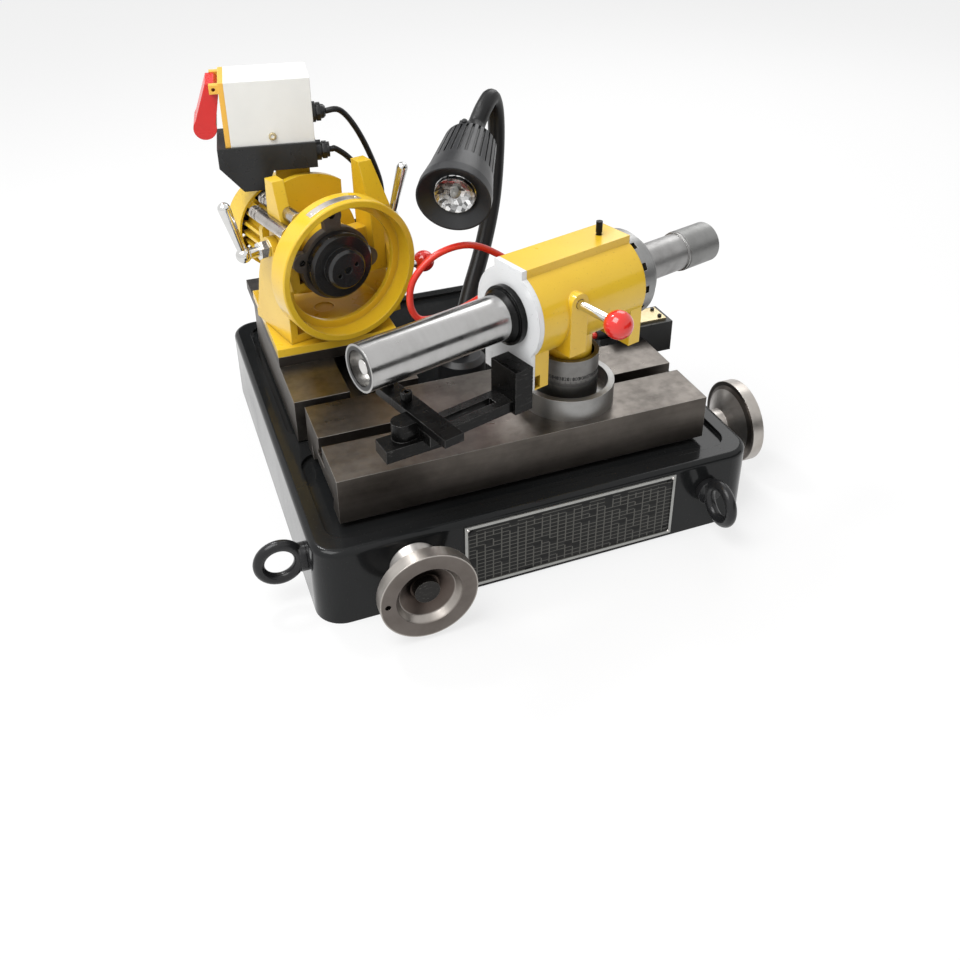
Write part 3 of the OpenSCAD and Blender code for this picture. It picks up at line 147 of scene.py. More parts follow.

# %% [markdown]
# A finish is one material with its nodes. Each node comes from one method, which takes the node's type, its
# settings and its inputs. The other methods are patterns that most finishes share: noise, ramps, blends,
# edges that are worn or painted as highlights, corners darkened as painted shade, and faces that look up. A
# finish then is a few lines that say what varies over the surface, and one function dresses the imported
# nodes with it.


# %% Finish helpers
class Finish:
    """One material, made of nodes that read Object coordinates."""

    def __init__(self, name, roughness=0.5, metallic=0.0, **fixed):
        self.material = bpy.data.materials.new(name)
        self.material.use_nodes = True
        self.tree = self.material.node_tree
        self.shader = self.tree.nodes["Principled BSDF"]
        self.place = None
        self.shader.inputs["Roughness"].default_value = roughness
        self.shader.inputs["Metallic"].default_value = metallic
        for key, value in fixed.items():
            self.shader.inputs[key.replace("_", " ")].default_value = value

    def node(self, kind, settings=None, inputs=None, output=0):
        made = self.tree.nodes.new(kind)
        for key, value in (settings or {}).items():
            if key == "stops":
                ramp = made.color_ramp.elements
                while len(ramp) < len(value):
                    ramp.new(0.5)
                for stop, (position, colour) in zip(ramp, value):
                    stop.position = position
                    stop.color = (*colour, 1.0)
            else:
                setattr(made, key, value)
        for key, value in (inputs or {}).items():
            if isinstance(value, Wire):
                self.tree.links.new(value.socket, made.inputs[key])
            else:
                made.inputs[key].default_value = value
        return Wire(self, made.outputs[output])

    def coordinates(self, scale=(1, 1, 1), turn=0.0, centre=(0, 0, 0)):
        """Object coordinates about a centre, turned about Z by degrees, and stretched."""
        if self.place is None:
            self.place = self.node("ShaderNodeTexCoord", output="Object")
        moved = self.node("ShaderNodeVectorMath", {"operation": "SUBTRACT"}, {0: self.place, 1: centre})
        return self.node("ShaderNodeMapping", {"vector_type": "TEXTURE"},
                         {"Vector": moved, "Rotation": (0, 0, math.radians(turn)),
                          "Scale": tuple(1 / s for s in scale)})

    def split(self, vector):
        return [self.node("ShaderNodeSeparateXYZ", {}, {0: vector}, output=k) for k in range(3)]

    def noise(self, scale, detail=4.0, rough=0.55, stretch=(1, 1, 1), turn=0.0):
        return self.node("ShaderNodeTexNoise", {}, {"Vector": self.coordinates(stretch, turn), "Scale": scale,
                                                    "Detail": detail, "Roughness": rough})

    def ramp(self, value, *stops):
        return self.node("ShaderNodeValToRGB", {"stops": [(p, c if isinstance(c, tuple) else (c, c, c))
                                                           for p, c in stops]}, {"Fac": value})

    def blend(self, factor, first, second, mode="MIX"):
        whole = lambda c: c if isinstance(c, Wire) else (*c[:3], 1.0)
        return self.node("ShaderNodeMix", {"data_type": "RGBA", "blend_type": mode},
                         {0: factor, 6: whole(first), 7: whole(second)}, output=2)

    def set(self, **sockets):
        for key, value in sockets.items():
            socket = self.shader.inputs[key.replace("_", " ")]
            if isinstance(value, Wire):
                self.tree.links.new(value.socket, socket)
            else:
                socket.default_value = (*value, 1.0) if isinstance(value, tuple) else value
        return self

    def bump(self, height, strength, normal=None, distance=0.001):
        inputs = {"Height": height, "Strength": strength, "Distance": distance}
        if normal is not None:
            inputs["Normal"] = normal
        return self.node("ShaderNodeBump", {}, inputs)

    def edge(self, radius):
        """The normal with its edges rounded, and a mask that is 1 on edges narrower than the radius."""
        soft = self.node("ShaderNodeBevel", {"samples": 6}, {"Radius": radius})
        sharp = self.node("ShaderNodeNewGeometry", output="Normal")
        dot = self.node("ShaderNodeVectorMath", {"operation": "DOT_PRODUCT"}, {0: soft, 1: sharp},
                        output="Value")
        return soft, self.ramp(1 - dot, (0.02, 0.0), (0.2, 1.0))

    def corners(self, reach):
        """A mask that is 1 deep in corners, from ambient occlusion, to paint the shade that falls there."""
        open_sky = self.node("ShaderNodeAmbientOcclusion", {"samples": 6}, {"Distance": reach}, output="AO")
        return self.ramp(1 - open_sky, (0.3, 0.0), (0.85, 1.0))

    def upward(self):
        """A mask that is 1 on faces that look up."""
        normal = self.node("ShaderNodeNewGeometry", output="Normal")
        return self.ramp(self.split(normal)[2], (0.45, 0.0), (0.85, 1.0))


def dress(finish, *names):
    for name in names:
        nodes[name].data.materials.clear()
        nodes[name].data.materials.append(finish.material)


print("finish helpers are ready")

# %% [markdown]
# The castings are sprayed with enamel. Sprayed enamel is never quite flat: it has a fine orange peel, its
# gloss varies in soft clouds, it chips on its edges, which are also painted paler as a highlight, and its
# corners are darkened as painted shade in a brown grime tone. So one function makes each enamel from these
# four layers. The black, the yellow and the white differ in colour, gloss, grime and painted shade.


# %% Enamels
def enamel(name, colour, shade, grime_and_shade, edge_wear_and_highlight, rough, peel, corner_shade_and_grime, coat, shine=0.5):
    paint = Finish(name, rough, Coat_Weight=coat, Coat_Roughness=0.06, Specular_IOR_Level=shine)
    soft, edge_mask = paint.edge(0.0014)
    clouds = paint.ramp(paint.noise(7.0, 5.0), (0.35, 0.0), (0.7, 1.0))
    specks = paint.ramp(paint.noise(420.0, 2.0), (0.66, 0.0), (0.74, 1.0))
    chips = paint.ramp(paint.noise(60.0, 5.0), (0.5, 0.0), (0.62, 1.0))
    tone = paint.blend(clouds, colour, shade)
    # painted shade: corners darkened towards the brown grime tone
    tone = paint.blend(paint.corners(0.02) * corner_shade_and_grime, tone, grime_and_shade)
    tone = paint.blend(specks * 0.35, tone, grime_and_shade)
    # edges paler: chipped wear, and a painted highlight along every edge
    tone = paint.blend(edge_mask * (chips * 0.45 + 0.12), tone, edge_wear_and_highlight)
    relief = paint.bump(paint.noise(330.0, 2.0), peel, soft, 0.0006)
    return paint.set(Base_Color=tone, Roughness=rough + clouds * 0.1 + specks * 0.15, Normal=relief)


BLACK_BASE = enamel("black_base_enamel", (0.0085, 0.0092, 0.0096), (0.013, 0.0135, 0.014),
                    (0.02, 0.018, 0.015), (0.05, 0.05, 0.05),
                    rough=0.12, peel=0.08, corner_shade_and_grime=0.35, coat=0.15, shine=0.13)
YELLOW = enamel("yellow_enamel", (0.79, 0.52, 0.024), (0.71, 0.44, 0.017), (0.24, 0.115, 0.01),
                (0.9, 0.72, 0.2), rough=0.26, peel=0.14, corner_shade_and_grime=0.8, coat=0.35)
WHITE = enamel("white_face_enamel", (0.78, 0.79, 0.8), (0.7, 0.71, 0.72), (0.3, 0.29, 0.28),
               (0.4, 0.4, 0.4), rough=0.22, peel=0.1, corner_shade_and_grime=0.6, coat=0.3)
FORGED_BLACK = enamel("black_forged_enamel", (0.011, 0.011, 0.012), (0.018, 0.018, 0.019),
                      (0.012, 0.011, 0.01), (0.06, 0.06, 0.06),
                      rough=0.24, peel=0.4, corner_shade_and_grime=0.4, coat=0.1, shine=0.3)
HUB_BLACK = enamel("black_hub_enamel", (0.013, 0.013, 0.014), (0.019, 0.019, 0.02),
                   (0.003, 0.003, 0.003), (0.1, 0.1, 0.1),
                   rough=0.14, peel=0.05, corner_shade_and_grime=0.5, coat=0.3, shine=0.4)
dress(BLACK_BASE, "base_casting")
dress(YELLOW, "wheelhead_foot", "workhead_housing", "yoke", "head_casting", "motor_body", "fan_cover",
      "guard_ring")
dress(WHITE, "front_plate")
dress(FORGED_BLACK, "eye_bolts")
dress(HUB_BLACK, "wheel_hub")
print("enamels:", 5)

# %% [markdown]
# The table and the cross slide are ground cast iron. Grinding leaves fine lines along the travel, with
# blotches of oil between them. The sides are painted darker and browner than the top faces, as painted shade
# and a painted dark reflection, while the top faces get the lit tone. The riser under the wheel head was
# milled all over and is the darkest. A mask from the normal tells the top faces from the sides, and noise
# that is stretched along the travel draws the lines.

# %% Ground slides
X_AXIS, Y_AXIS, Z_AXIS = range(3)
LINE_STRETCH = 0.015


def ground(name, travel_axis, bright, shaded_side_tone):
    iron = Finish(name, 0.3, 1.0)
    stretch = [1.0, 1.0, 1.0]
    stretch[travel_axis] = LINE_STRETCH
    soft, edge_mask = iron.edge(0.0008)
    top = iron.upward()
    lines = iron.noise(1500.0, 3.0, stretch=tuple(stretch))
    broken = tuple(s * 0.3 + 0.02 for s in stretch)
    streaks = iron.ramp(iron.noise(160.0, 4.0, stretch=broken), (0.3, 0.0), (0.7, 1.0))
    oil = iron.ramp(iron.noise(16.0, 6.0, 0.62), (0.4, 0.0), (0.68, 1.0))
    mottle = iron.ramp(iron.noise(90.0, 5.0), (0.42, 0.0), (0.6, 1.0))
    # painted light: top faces get the bright tone, the sides the painted shade of the side tone
    tone = iron.blend(top, shaded_side_tone, bright)
    tone = iron.blend(oil * 0.5 + mottle * 0.24, tone, tuple(0.55 * v for v in shaded_side_tone))
    tone = iron.blend(streaks * 0.3, tone, tuple(1.25 * v for v in bright))
    tone = iron.blend(edge_mask * 0.7, tone, (0.5, 0.48, 0.45))
    relief = iron.bump(lines, 0.2, soft, 0.0004)
    return iron.set(Base_Color=tone, Roughness=0.36 - top * 0.1 + oil * 0.1 + streaks * 0.05, Normal=relief)


TABLE_IRON = ground("ground_table_iron", X_AXIS, (0.19, 0.172, 0.155), (0.092, 0.08, 0.07))
CROSS_IRON = ground("ground_cross_iron", Y_AXIS, (0.23, 0.213, 0.195), (0.115, 0.102, 0.09))
RISER_IRON = ground("milled_riser_iron", X_AXIS, (0.12, 0.108, 0.098), (0.06, 0.054, 0.048))
dress(TABLE_IRON, "table_block")
dress(CROSS_IRON, "cross_slide_block")
dress(RISER_IRON, "riser_plate")
print("ground slides:", 3)

# %% [markdown]
# Most bright parts came off a lathe, so their tool marks run round an axis: along a cylinder they are rings,
# and on an end face they are circles. Both come from one number, the way along the axis plus the distance
# from it, fed to a noise of one dimension. The function takes the line that the marks run round, as a point,
# a turn in degrees and an axis. A high ring strength gives a rough turned wheel, a low one a polished quill.

# %% Turned metals
TOOL_MARKS = 900.0


def lathe(name, colour, stain, line, rough, ring, stains=0.5, edge_tone=None, painted_light_zones=None, face=None,
          corner_shade_and_grime=0.0):
    centre, turn, axis = line
    metal = Finish(name, rough, 1.0)
    soft, edge_mask = metal.edge(0.0007)
    local = metal.coordinates(turn=turn, centre=centre)
    flat = tuple(0.0 if k == axis else 1.0 for k in range(3))
    around = metal.node("ShaderNodeVectorMath", {"operation": "MULTIPLY"}, {0: local, 1: flat})
    radius = metal.node("ShaderNodeVectorMath", {"operation": "LENGTH"}, {0: around}, output="Value")
    along = metal.split(local)[axis]
    way = along + radius
    fine, broad = [metal.node("ShaderNodeTexNoise", {"noise_dimensions": "1D"},
                              {"W": way, "Scale": scale, "Detail": detail})
                   for scale, detail in ((TOOL_MARKS, 3.0), (TOOL_MARKS / 9, 2.0))]
    smudge = metal.ramp(metal.noise(38.0, 5.0, 0.6), (0.42, 0.0), (0.72, 1.0))
    bands = metal.ramp(broad, (0.35, 0.0), (0.65, 1.0))
    tone = metal.blend(smudge * stains + bands * 0.15, colour, stain)
    tone = metal.blend(edge_mask * 0.6, tone, edge_tone or tuple(min(1.0, 1.6 * v) for v in colour))
    # painted light: over the radius near a front face, highlights on rims and bevels, shade in dishes and
    # hollows
    if painted_light_zones:
        reach, stops = painted_light_zones
        front, inwards, depth = face
        near = (along - front) * inwards < depth
        tone = metal.blend(near, tone, metal.ramp(radius / reach, *stops), "MULTIPLY")
    # painted shade: corners and notches darkened nearly to black
    if corner_shade_and_grime:
        tone = metal.blend(metal.corners(0.006) * corner_shade_and_grime, tone, (0.012, 0.012, 0.012))
    relief = metal.bump(fine, ring, soft, 0.0004)
    return metal.set(Base_Color=tone, Roughness=rough + smudge * 0.12 + fine * (0.3 * ring), Normal=relief)


print("tool marks have a scale of", TOOL_MARKS)

# %% [markdown]
# The turned parts follow a few lines: the two screws, the two spindles, the drum and the valve. A handwheel
# gets painted shade in its dish and painted highlights on its outer edge and the bevel inside its rim, so its
# zones of painted light are a ramp over the radius, used only near its front face. The quill's end has such
# zones too: a painted highlight on its rim, and painted shade inside it. Plated, brass and bronze parts take
# the same function with their own tones.

# %% Turned parts
SCREW_HEIGHT, DRUM_HEIGHT = 0.056, 0.2
WHEEL_DISH, END_DEPTH = 0.0165, 0.0012
CROSS_LINE = ((HEAD_PLACE[0], 0, SCREW_HEIGHT), 0.0, Y_AXIS)
TABLE_LINE = ((0, WORK_PLACE[1], SCREW_HEIGHT), 0.0, X_AXIS)
SPINDLE_LINE = (WORK_PLACE, WORK_TURN, X_AXIS)
GRINDING_LINE = (HEAD_PLACE, HEAD_TURN, Y_AXIS)
DRUM_LINE = ((*WORK_PLACE[:2], DRUM_HEIGHT), 0.0, Z_AXIS)
VALVE_LINE = ((0.208, -0.05, 0.16), 0.0, Z_AXIS)
UPRIGHT_LINE, LEVEL_LINE = ((0, 0, 0), 0.0, Z_AXIS), ((0, 0, 0), 0.0, X_AXIS)
# painted light on the handwheels: shade in the dish, highlights on the bevel and the outer edge
RIM_PAINTED_LIGHT = (0.052, [(0.27, (0.1, 0.08, 0.07)), (0.36, (0.16, 0.13, 0.118)), (0.535, (0.22, 0.19, 0.175)),
                     (0.56, (0.8, 0.78, 0.76)), (0.63, (0.75, 0.73, 0.71)), (0.655, (0.29, 0.267, 0.255)),
                     (0.93, (0.32, 0.297, 0.283)), (0.955, (0.95, 0.94, 0.92))])
# painted light on the quill's end: shade inside it, a highlight on its rim
END_PAINTED_LIGHT = (0.025, [(0.8, (0.09, 0.09, 0.09)), (0.86, (0.14, 0.14, 0.14)), (0.89, (0.9, 0.9, 0.9))])
CROSS_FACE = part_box("cross_handwheel")[0][1]
TABLE_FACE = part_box("table_handwheel")[1][0]
QUILL_END = min((WORK.inverted() @ v.co).x for v in nodes["quill_tube"].data.vertices)
WHEEL_IRON, WHEEL_STAIN = (0.5, 0.475, 0.45), (0.34, 0.31, 0.285)
CROSS_WHEEL = lathe("cross_wheel_iron", WHEEL_IRON, WHEEL_STAIN, CROSS_LINE, rough=0.3, ring=0.16,
                    painted_light_zones=RIM_PAINTED_LIGHT, face=(CROSS_FACE, 1.0, WHEEL_DISH))
TABLE_WHEEL = lathe("table_wheel_iron", WHEEL_IRON, WHEEL_STAIN, TABLE_LINE, rough=0.3, ring=0.16,
                    painted_light_zones=RIM_PAINTED_LIGHT, face=(TABLE_FACE, -1.0, WHEEL_DISH))
QUILL = lathe("polished_quill_steel", (0.46, 0.456, 0.45), (0.36, 0.354, 0.346), SPINDLE_LINE,
              rough=0.18, ring=0.01, stains=0.4, painted_light_zones=END_PAINTED_LIGHT, face=(QUILL_END, 1.0, END_DEPTH))
SPINDLE = lathe("bright_spindle_steel", (0.66, 0.65, 0.63), (0.42, 0.4, 0.38), SPINDLE_LINE,
                rough=0.14, ring=0.06)
GREY_TURNED = lathe("grey_index_metal", (0.31, 0.31, 0.307), (0.22, 0.22, 0.217), SPINDLE_LINE,
                    rough=0.38, ring=0.06, corner_shade_and_grime=0.95)
SLEEVE = lathe("grey_sleeve_metal", (0.35, 0.346, 0.342), (0.25, 0.246, 0.242), SPINDLE_LINE,
               rough=0.36, ring=0.12, stains=0.7, edge_tone=(0.85, 0.85, 0.83))
CAP = lathe("grey_cap_metal", (0.27, 0.27, 0.265), (0.2, 0.2, 0.195), SPINDLE_LINE,
            rough=0.42, ring=0.2, stains=0.4)
DRUM = lathe("grey_drum_iron", (0.23, 0.225, 0.217), (0.13, 0.125, 0.118), DRUM_LINE,
             rough=0.34, ring=0.08, corner_shade_and_grime=0.5)
CUP = lathe("light_cup_iron", (0.34, 0.337, 0.33), (0.25, 0.245, 0.235), DRUM_LINE, rough=0.36, ring=0.08)
RODS = lathe("polished_rod_steel", (0.5, 0.47, 0.44), (0.34, 0.31, 0.285), GRINDING_LINE,
             rough=0.22, ring=0.05, corner_shade_and_grime=0.6)
BUSH = lathe("bright_bush_steel", (0.45, 0.43, 0.41), (0.25, 0.23, 0.21), TABLE_LINE, rough=0.28, ring=0.12)
CHROME = lathe("chrome_plate", (0.72, 0.72, 0.71), (0.55, 0.54, 0.52), UPRIGHT_LINE,
               rough=0.07, ring=0.02, stains=0.35)
BRASS = lathe("pale_brass", (0.6, 0.51, 0.32), (0.38, 0.29, 0.14), VALVE_LINE, rough=0.3, ring=0.08)
BRONZE = lathe("nut_bronze", (0.5, 0.3, 0.13), (0.3, 0.17, 0.07), LEVEL_LINE, rough=0.35, ring=0.1)
dress(CROSS_WHEEL, "cross_handwheel")
dress(TABLE_WHEEL, "table_handwheel")
dress(QUILL, "quill_tube")
dress(SPINDLE, "spindle_core")
dress(GREY_TURNED, "index_plate")
dress(SLEEVE, "rear_sleeve")
dress(CAP, "end_cap")
dress(DRUM, "swivel_drum")
dress(CUP, "swivel_base")
dress(RODS, "guard_rods", "motor_shaft")
dress(BUSH, "screw_bushes")
dress(CHROME, "lock_lever", "left_clamp_lever", "right_clamp_lever", "swivel_lever")
dress(BRASS, "valve_cover", "hose_fitting")
dress(BRONZE, "table_nut", "cross_nut")
print("turned metals:", 14)

# %% [markdown]
# Steel that was blackened in hot oil is nearly as dark as paint but not as glossy, and it rubs bare along
# its edges, which are also painted paler as a highlight. The tooth rest, the collar, the pin and the screws
# have it, and the arm of the rest is paler on the faces that look up. The bearing cap is browner and rougher,
# as it came from the foundry.


# %% Blackened steel
def blackened(name, colour, rub_and_highlight, rough, grain, metallic=0.7, top=None):
    steel = Finish(name, rough, metallic, Specular_IOR_Level=0.3)
    soft, edge_mask = steel.edge(0.0008)
    patches = steel.ramp(steel.noise(45.0, 5.0, 0.6), (0.38, 0.0), (0.66, 1.0))
    scratch = steel.ramp(steel.noise(700.0, 2.0, stretch=(0.05, 1, 1), turn=20.0), (0.6, 0.0), (0.75, 1.0))
    tone = steel.blend(patches * 0.6, colour, tuple(1.7 * v for v in colour))
    # paler on faces that look up
    if top:
        tone = steel.blend(steel.upward() * (0.6 + patches * 0.4), tone, top)
    tone = steel.blend(scratch * 0.2, tone, rub_and_highlight)
    # edges paler: rubbed wear, and a painted highlight
    tone = steel.blend(edge_mask * (0.25 + patches * 0.5), tone, rub_and_highlight)
    relief = steel.bump(steel.noise(260.0, 3.0), grain, soft, 0.0006)
    return steel.set(Base_Color=tone, Roughness=rough + patches * 0.14, Normal=relief)


REST_TONE = (0.009, 0.0088, 0.0086)
REST_BLACK = blackened("blackened_rest_steel", REST_TONE, (0.2, 0.195, 0.19), rough=0.2, grain=0.08)
COLLAR_BLACK = blackened("black_collar_steel", (0.009, 0.009, 0.009), (0.09, 0.09, 0.09),
                         rough=0.2, grain=0.04)
CAST_BROWN = blackened("brown_cap_iron", (0.085, 0.076, 0.069), (0.2, 0.185, 0.17),
                       rough=0.42, grain=0.3, metallic=0.3)
SCREW_DARK = blackened("dark_screw_steel", (0.02, 0.019, 0.018), (0.25, 0.24, 0.22),
                       rough=0.22, grain=0.05, metallic=0.8)
REST_ARM = blackened("arm_steel_pale_top", REST_TONE, (0.24, 0.235, 0.23), rough=0.2, grain=0.08,
                     top=(0.04, 0.039, 0.038))
dress(REST_BLACK, "rest_bracket", "rest_plate", "rest_finger", "rest_screws")
dress(REST_ARM, "rest_arm")
dress(COLLAR_BLACK, "wiper_collar", "index_pin")
dress(CAST_BROWN, "bearing_cap")
dress(SCREW_DARK, "table_screw", "cross_screw")
print("blackened steels:", 5)

# %% [markdown]
# Moulded plastic has an even colour, so what makes it read as plastic is its fine grain, its soft edges and
# a haze of dust and hand marks that changes its gloss. Its corners are darkened as painted shade, and its
# edges are painted paler as a highlight. The red knobs are polished, the switch box is satin, and the rubber
# of the leads shines least.


# %% Plastics and rubber
def moulded(name, colour, rough, grain, haze=0.5, grain_scale=900.0, coat=0.0, shine=0.5):
    plastic = Finish(name, rough, Coat_Weight=coat, Coat_Roughness=0.08, Specular_IOR_Level=shine)
    soft, edge_mask = plastic.edge(0.0012)
    dust = plastic.ramp(plastic.noise(24.0, 5.0, 0.6), (0.4, 0.0), (0.75, 1.0))
    tone = plastic.blend(dust * 0.3 * haze, colour, tuple(min(1.0, 0.02 + 1.25 * v) for v in colour))
    # painted shade: corners darkened towards a third of the colour
    tone = plastic.blend(plastic.corners(0.012) * 0.5, tone, tuple(0.35 * v for v in colour))
    # painted highlight: edges paler
    tone = plastic.blend(edge_mask * 0.2, tone, tuple(min(1.0, 0.03 + 1.4 * v) for v in colour))
    relief = plastic.bump(plastic.noise(grain_scale, 2.0), grain, soft, 0.0004)
    return plastic.set(Base_Color=tone, Roughness=rough + dust * 0.15 * haze, Normal=relief)


RED_KNOB = moulded("red_knob_plastic", (0.68, 0.018, 0.012), rough=0.14, grain=0.01, haze=0.4, coat=0.5)
RED_HOSE = moulded("red_hose_rubber", (0.72, 0.03, 0.014), rough=0.3, grain=0.04, haze=0.6,
                   grain_scale=300.0, coat=0.2)
RED_PADDLE = moulded("red_paddle_plastic", (0.62, 0.016, 0.014), rough=0.24, grain=0.05)
PALE_BOX = moulded("pale_switch_plastic", (0.78, 0.78, 0.75), rough=0.34, grain=0.1, haze=0.6)
AMBER_PLATE = moulded("amber_plate_plastic", (0.84, 0.46, 0.06), rough=0.28, grain=0.06)
BLACK_SHELL = moulded("black_shell_plastic", (0.014, 0.0145, 0.015), rough=0.26, grain=0.1, haze=0.9,
                      grain_scale=700.0, shine=0.35)
BLACK_LAMP = moulded("black_lamp_plastic", (0.016, 0.0165, 0.018), rough=0.34, grain=0.16, haze=0.9,
                     grain_scale=800.0, shine=0.35)
BLACK_RUBBER = moulded("black_lead_rubber", (0.008, 0.008, 0.0085), rough=0.34, grain=0.06, haze=0.7,
                       grain_scale=400.0, shine=0.25)
dress(RED_KNOB, "lock_ball", "swivel_lever_ball")
dress(RED_PADDLE, "stop_paddle")
dress(PALE_BOX, "switch_box")
dress(AMBER_PLATE, "switch_plate")
dress(BLACK_SHELL, "terminal_box", "air_valve", "cooling_fan")
dress(BLACK_LAMP, "lamp_base", "lamp_head")
print("plastics:", 8)

# %% [markdown]
# The plate on the front is etched aluminium with a ruled grid on a dark ground, and its fields are bare. The
# columns and rows come from the place on the plate, and a line is where the rest after a whole column or row
# is small. Each cell has its own slight tone, and some cells, more of them near the top, lack their lines and
# so join the next one. The topmost tenth has no upright lines.

# %% Front plate
PLATE_LOW, PLATE_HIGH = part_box("spec_plate")
BORDER = 0.0032
COLUMNS, ROWS = 26, 15
UP_SHARE, ACROSS_SHARE, HEADING_FROM = 0.15, 0.2, 0.9
OPEN_LOW, OPEN_RISE = 0.03, 0.14
plate = Finish("etched_plate", 0.35, 0.6, Specular_IOR_Level=0.2)
px, pz = plate.split(plate.coordinates())[::2]
across = (px - (PLATE_LOW[0] + BORDER)) / (PLATE_HIGH[0] - PLATE_LOW[0] - 2 * BORDER)
upward = (pz - (PLATE_LOW[2] + BORDER)) / (PLATE_HIGH[2] - PLATE_LOW[2] - 2 * BORDER)
inside = (across > 0.0) * (across < 1.0) * (upward > 0.0) * (upward < 1.0)
column = across * COLUMNS
row = upward * ROWS
rule_up = (column % 1.0) < UP_SHARE
rule_across = (row % 1.0) < ACROSS_SHARE
heading = upward > HEADING_FROM
cell = plate.node("ShaderNodeCombineXYZ", {}, {0: column.math("FLOOR", column), 1: row.math("FLOOR", row)})
cell_tone = plate.node("ShaderNodeTexWhiteNoise", {"noise_dimensions": "2D"}, {"Vector": cell})
open_field = cell_tone < OPEN_LOW + upward * OPEN_RISE
rules = (1 - (1 - rule_up * (1 - heading)) * (1 - rule_across)) * (1 - open_field)
plate_soft = plate.edge(0.0006)[0]
ground_tone = plate.blend(cell_tone, (0.004, 0.004, 0.0038), (0.012, 0.012, 0.011))
grid_tone = plate.blend(rules, ground_tone, (0.095, 0.093, 0.085))
scuffs = plate.ramp(plate.noise(120.0, 4.0), (0.5, 0.0), (0.7, 1.0))
etched = plate.blend(inside, (0.36, 0.36, 0.345), grid_tone)
etched = plate.blend(scuffs * 0.12, etched, (0.05, 0.05, 0.048))
plate.set(Base_Color=etched, Roughness=0.3 + scuffs * 0.2, Metallic=0.9 - inside * 0.8 + inside * rules * 0.6,
          Normal=plate.bump(rules * inside, 0.25, plate_soft, 0.0003))
dress(plate, "spec_plate")
print("front plate grid:", COLUMNS, "by", ROWS)

# %% [markdown]
# Most added pieces start as a bmesh that is drawn square at the origin. One helper turns its faces outwards,
# sets it in place, makes the object and lets it ride on the body that carries it. The object itself stays at
# the origin, unturned, because patterns are read from Object coordinates and the export expects that.


# %% Piece helpers
def link(name, mesh, finish, body=None, crease=40.0):
    mesh.materials.clear()
    mesh.materials.append(finish.material)
    mesh.shade_smooth()
    mesh.set_sharp_from_angle(angle=math.radians(crease))
    made = bpy.data.objects.new(name, mesh)
    bpy.context.scene.collection.objects.link(made)
    if body:
        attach(made, body)
    return made


def piece(name, shape, finish, body, place=Matrix(), crease=40.0):
    bmesh.ops.remove_doubles(shape, verts=shape.verts, dist=1e-6)
    bmesh.ops.recalc_face_normals(shape, faces=shape.faces)
    bmesh.ops.transform(shape, matrix=place, verts=shape.verts)
    mesh = bpy.data.meshes.new(name)
    shape.to_mesh(mesh)
    shape.free()
    return link(name, mesh, finish, body, crease)


def spun(profile, steps):
    """A closed solid of revolution about Z, from its outline as (radius, height) pairs."""
    shape = bmesh.new()
    corners = [shape.verts.new((r, 0, z)) for r, z in profile]
    rim = [shape.edges.new(pair) for pair in zip(corners, corners[1:])]
    bmesh.ops.spin(shape, geom=corners + rim, axis=(0, 0, 1), cent=(0, 0, 0), angle=math.tau, steps=steps,
                   use_merge=True)
    bmesh.ops.remove_doubles(shape, verts=shape.verts, dist=1e-6)
    return shape


def soften(shape, edges, offset, segments=2):
    """Rounds some edges of a bmesh."""
    bmesh.ops.bevel(shape, geom=edges, offset=offset, affect="EDGES", segments=segments, profile=0.5,
                    material=-1)


def block(low, high, round_by=0.0, segments=2):
    """A box between two corners, with its edges rounded where a size for that is given."""
    shape = bmesh.new()
    bmesh.ops.create_cube(shape, size=1.0)
    size = Vector(high) - Vector(low)
    bmesh.ops.scale(shape, vec=size, verts=shape.verts)
    bmesh.ops.translate(shape, vec=(Vector(low) + Vector(high)) / 2, verts=shape.verts)
    if round_by:
        soften(shape, shape.edges[:], round_by, segments)
    return shape


def joined(shapes):
    """Several bmeshes as one."""
    whole = bmesh.new()
    for shape in shapes:
        part = bpy.data.meshes.new("part")
        shape.to_mesh(part)
        shape.free()
        whole.from_mesh(part)
        bpy.data.meshes.remove(part)
    return whole


def moved(shape, place):
    bmesh.ops.transform(shape, matrix=place, verts=shape.verts)
    return shape


print("piece helpers are ready")

# %% [markdown]
# The gooseneck, the red air hose and the two leads of the switch are round and bend in one smooth curve.
# Each follows the route of its solid, as a smooth curve through the same points, and a curve with a round
# bevel makes the tube.


# %% Tube helpers
def smooth(points, steps=6):
    """A smooth route through some points, with a few steps from each to the next."""
    points = [Vector(p) for p in points]
    route = []
    for i in range(len(points) - 1):
        a, b, c, d = points[max(i - 1, 0)], points[i], points[i + 1], points[min(i + 2, len(points) - 1)]
        for k in range(steps):
            u = k / steps
            square, cube = a - 2.5 * b + 2 * c - d / 2, 1.5 * (b - c) + (d - a) / 2
            route.append(b + u * ((c - a) / 2 + u * (square + u * cube)))
    return route + [points[-1]]


def tube_mesh(name, route, diameter):
    """A round tube along a route, made from a curve."""
    line = bpy.data.curves.new(name, "CURVE")
    line.dimensions = "3D"
    line.bevel_depth = diameter / 2
    line.bevel_resolution = 6
    line.use_fill_caps = True
    spline = line.splines.new("POLY")
    spline.points.add(len(route) - 1)
    for point, place in zip(spline.points, route):
        point.co = (*place, 1.0)
    holder = bpy.data.objects.new(name, line)
    mesh = bpy.data.meshes.new_from_object(holder)
    mesh.name = name
    bpy.data.objects.remove(holder)
    bpy.data.curves.remove(line)
    return mesh


def length_of(route):
    return sum((b - a).length for a, b in zip(route, route[1:]))


def millimetres(points):
    return [Vector(p) / 1000 for p in points]


print("tube helpers are ready")

# %% [markdown]
# The gooseneck stands on the base and carries the lamp. The hose goes from the valve behind the table to the
# work head, and it is not attached to either body. The leads run from the boxes to the motor of the wheel
# head. All three cords run from one place on the machine to another, so no length of them is put away.

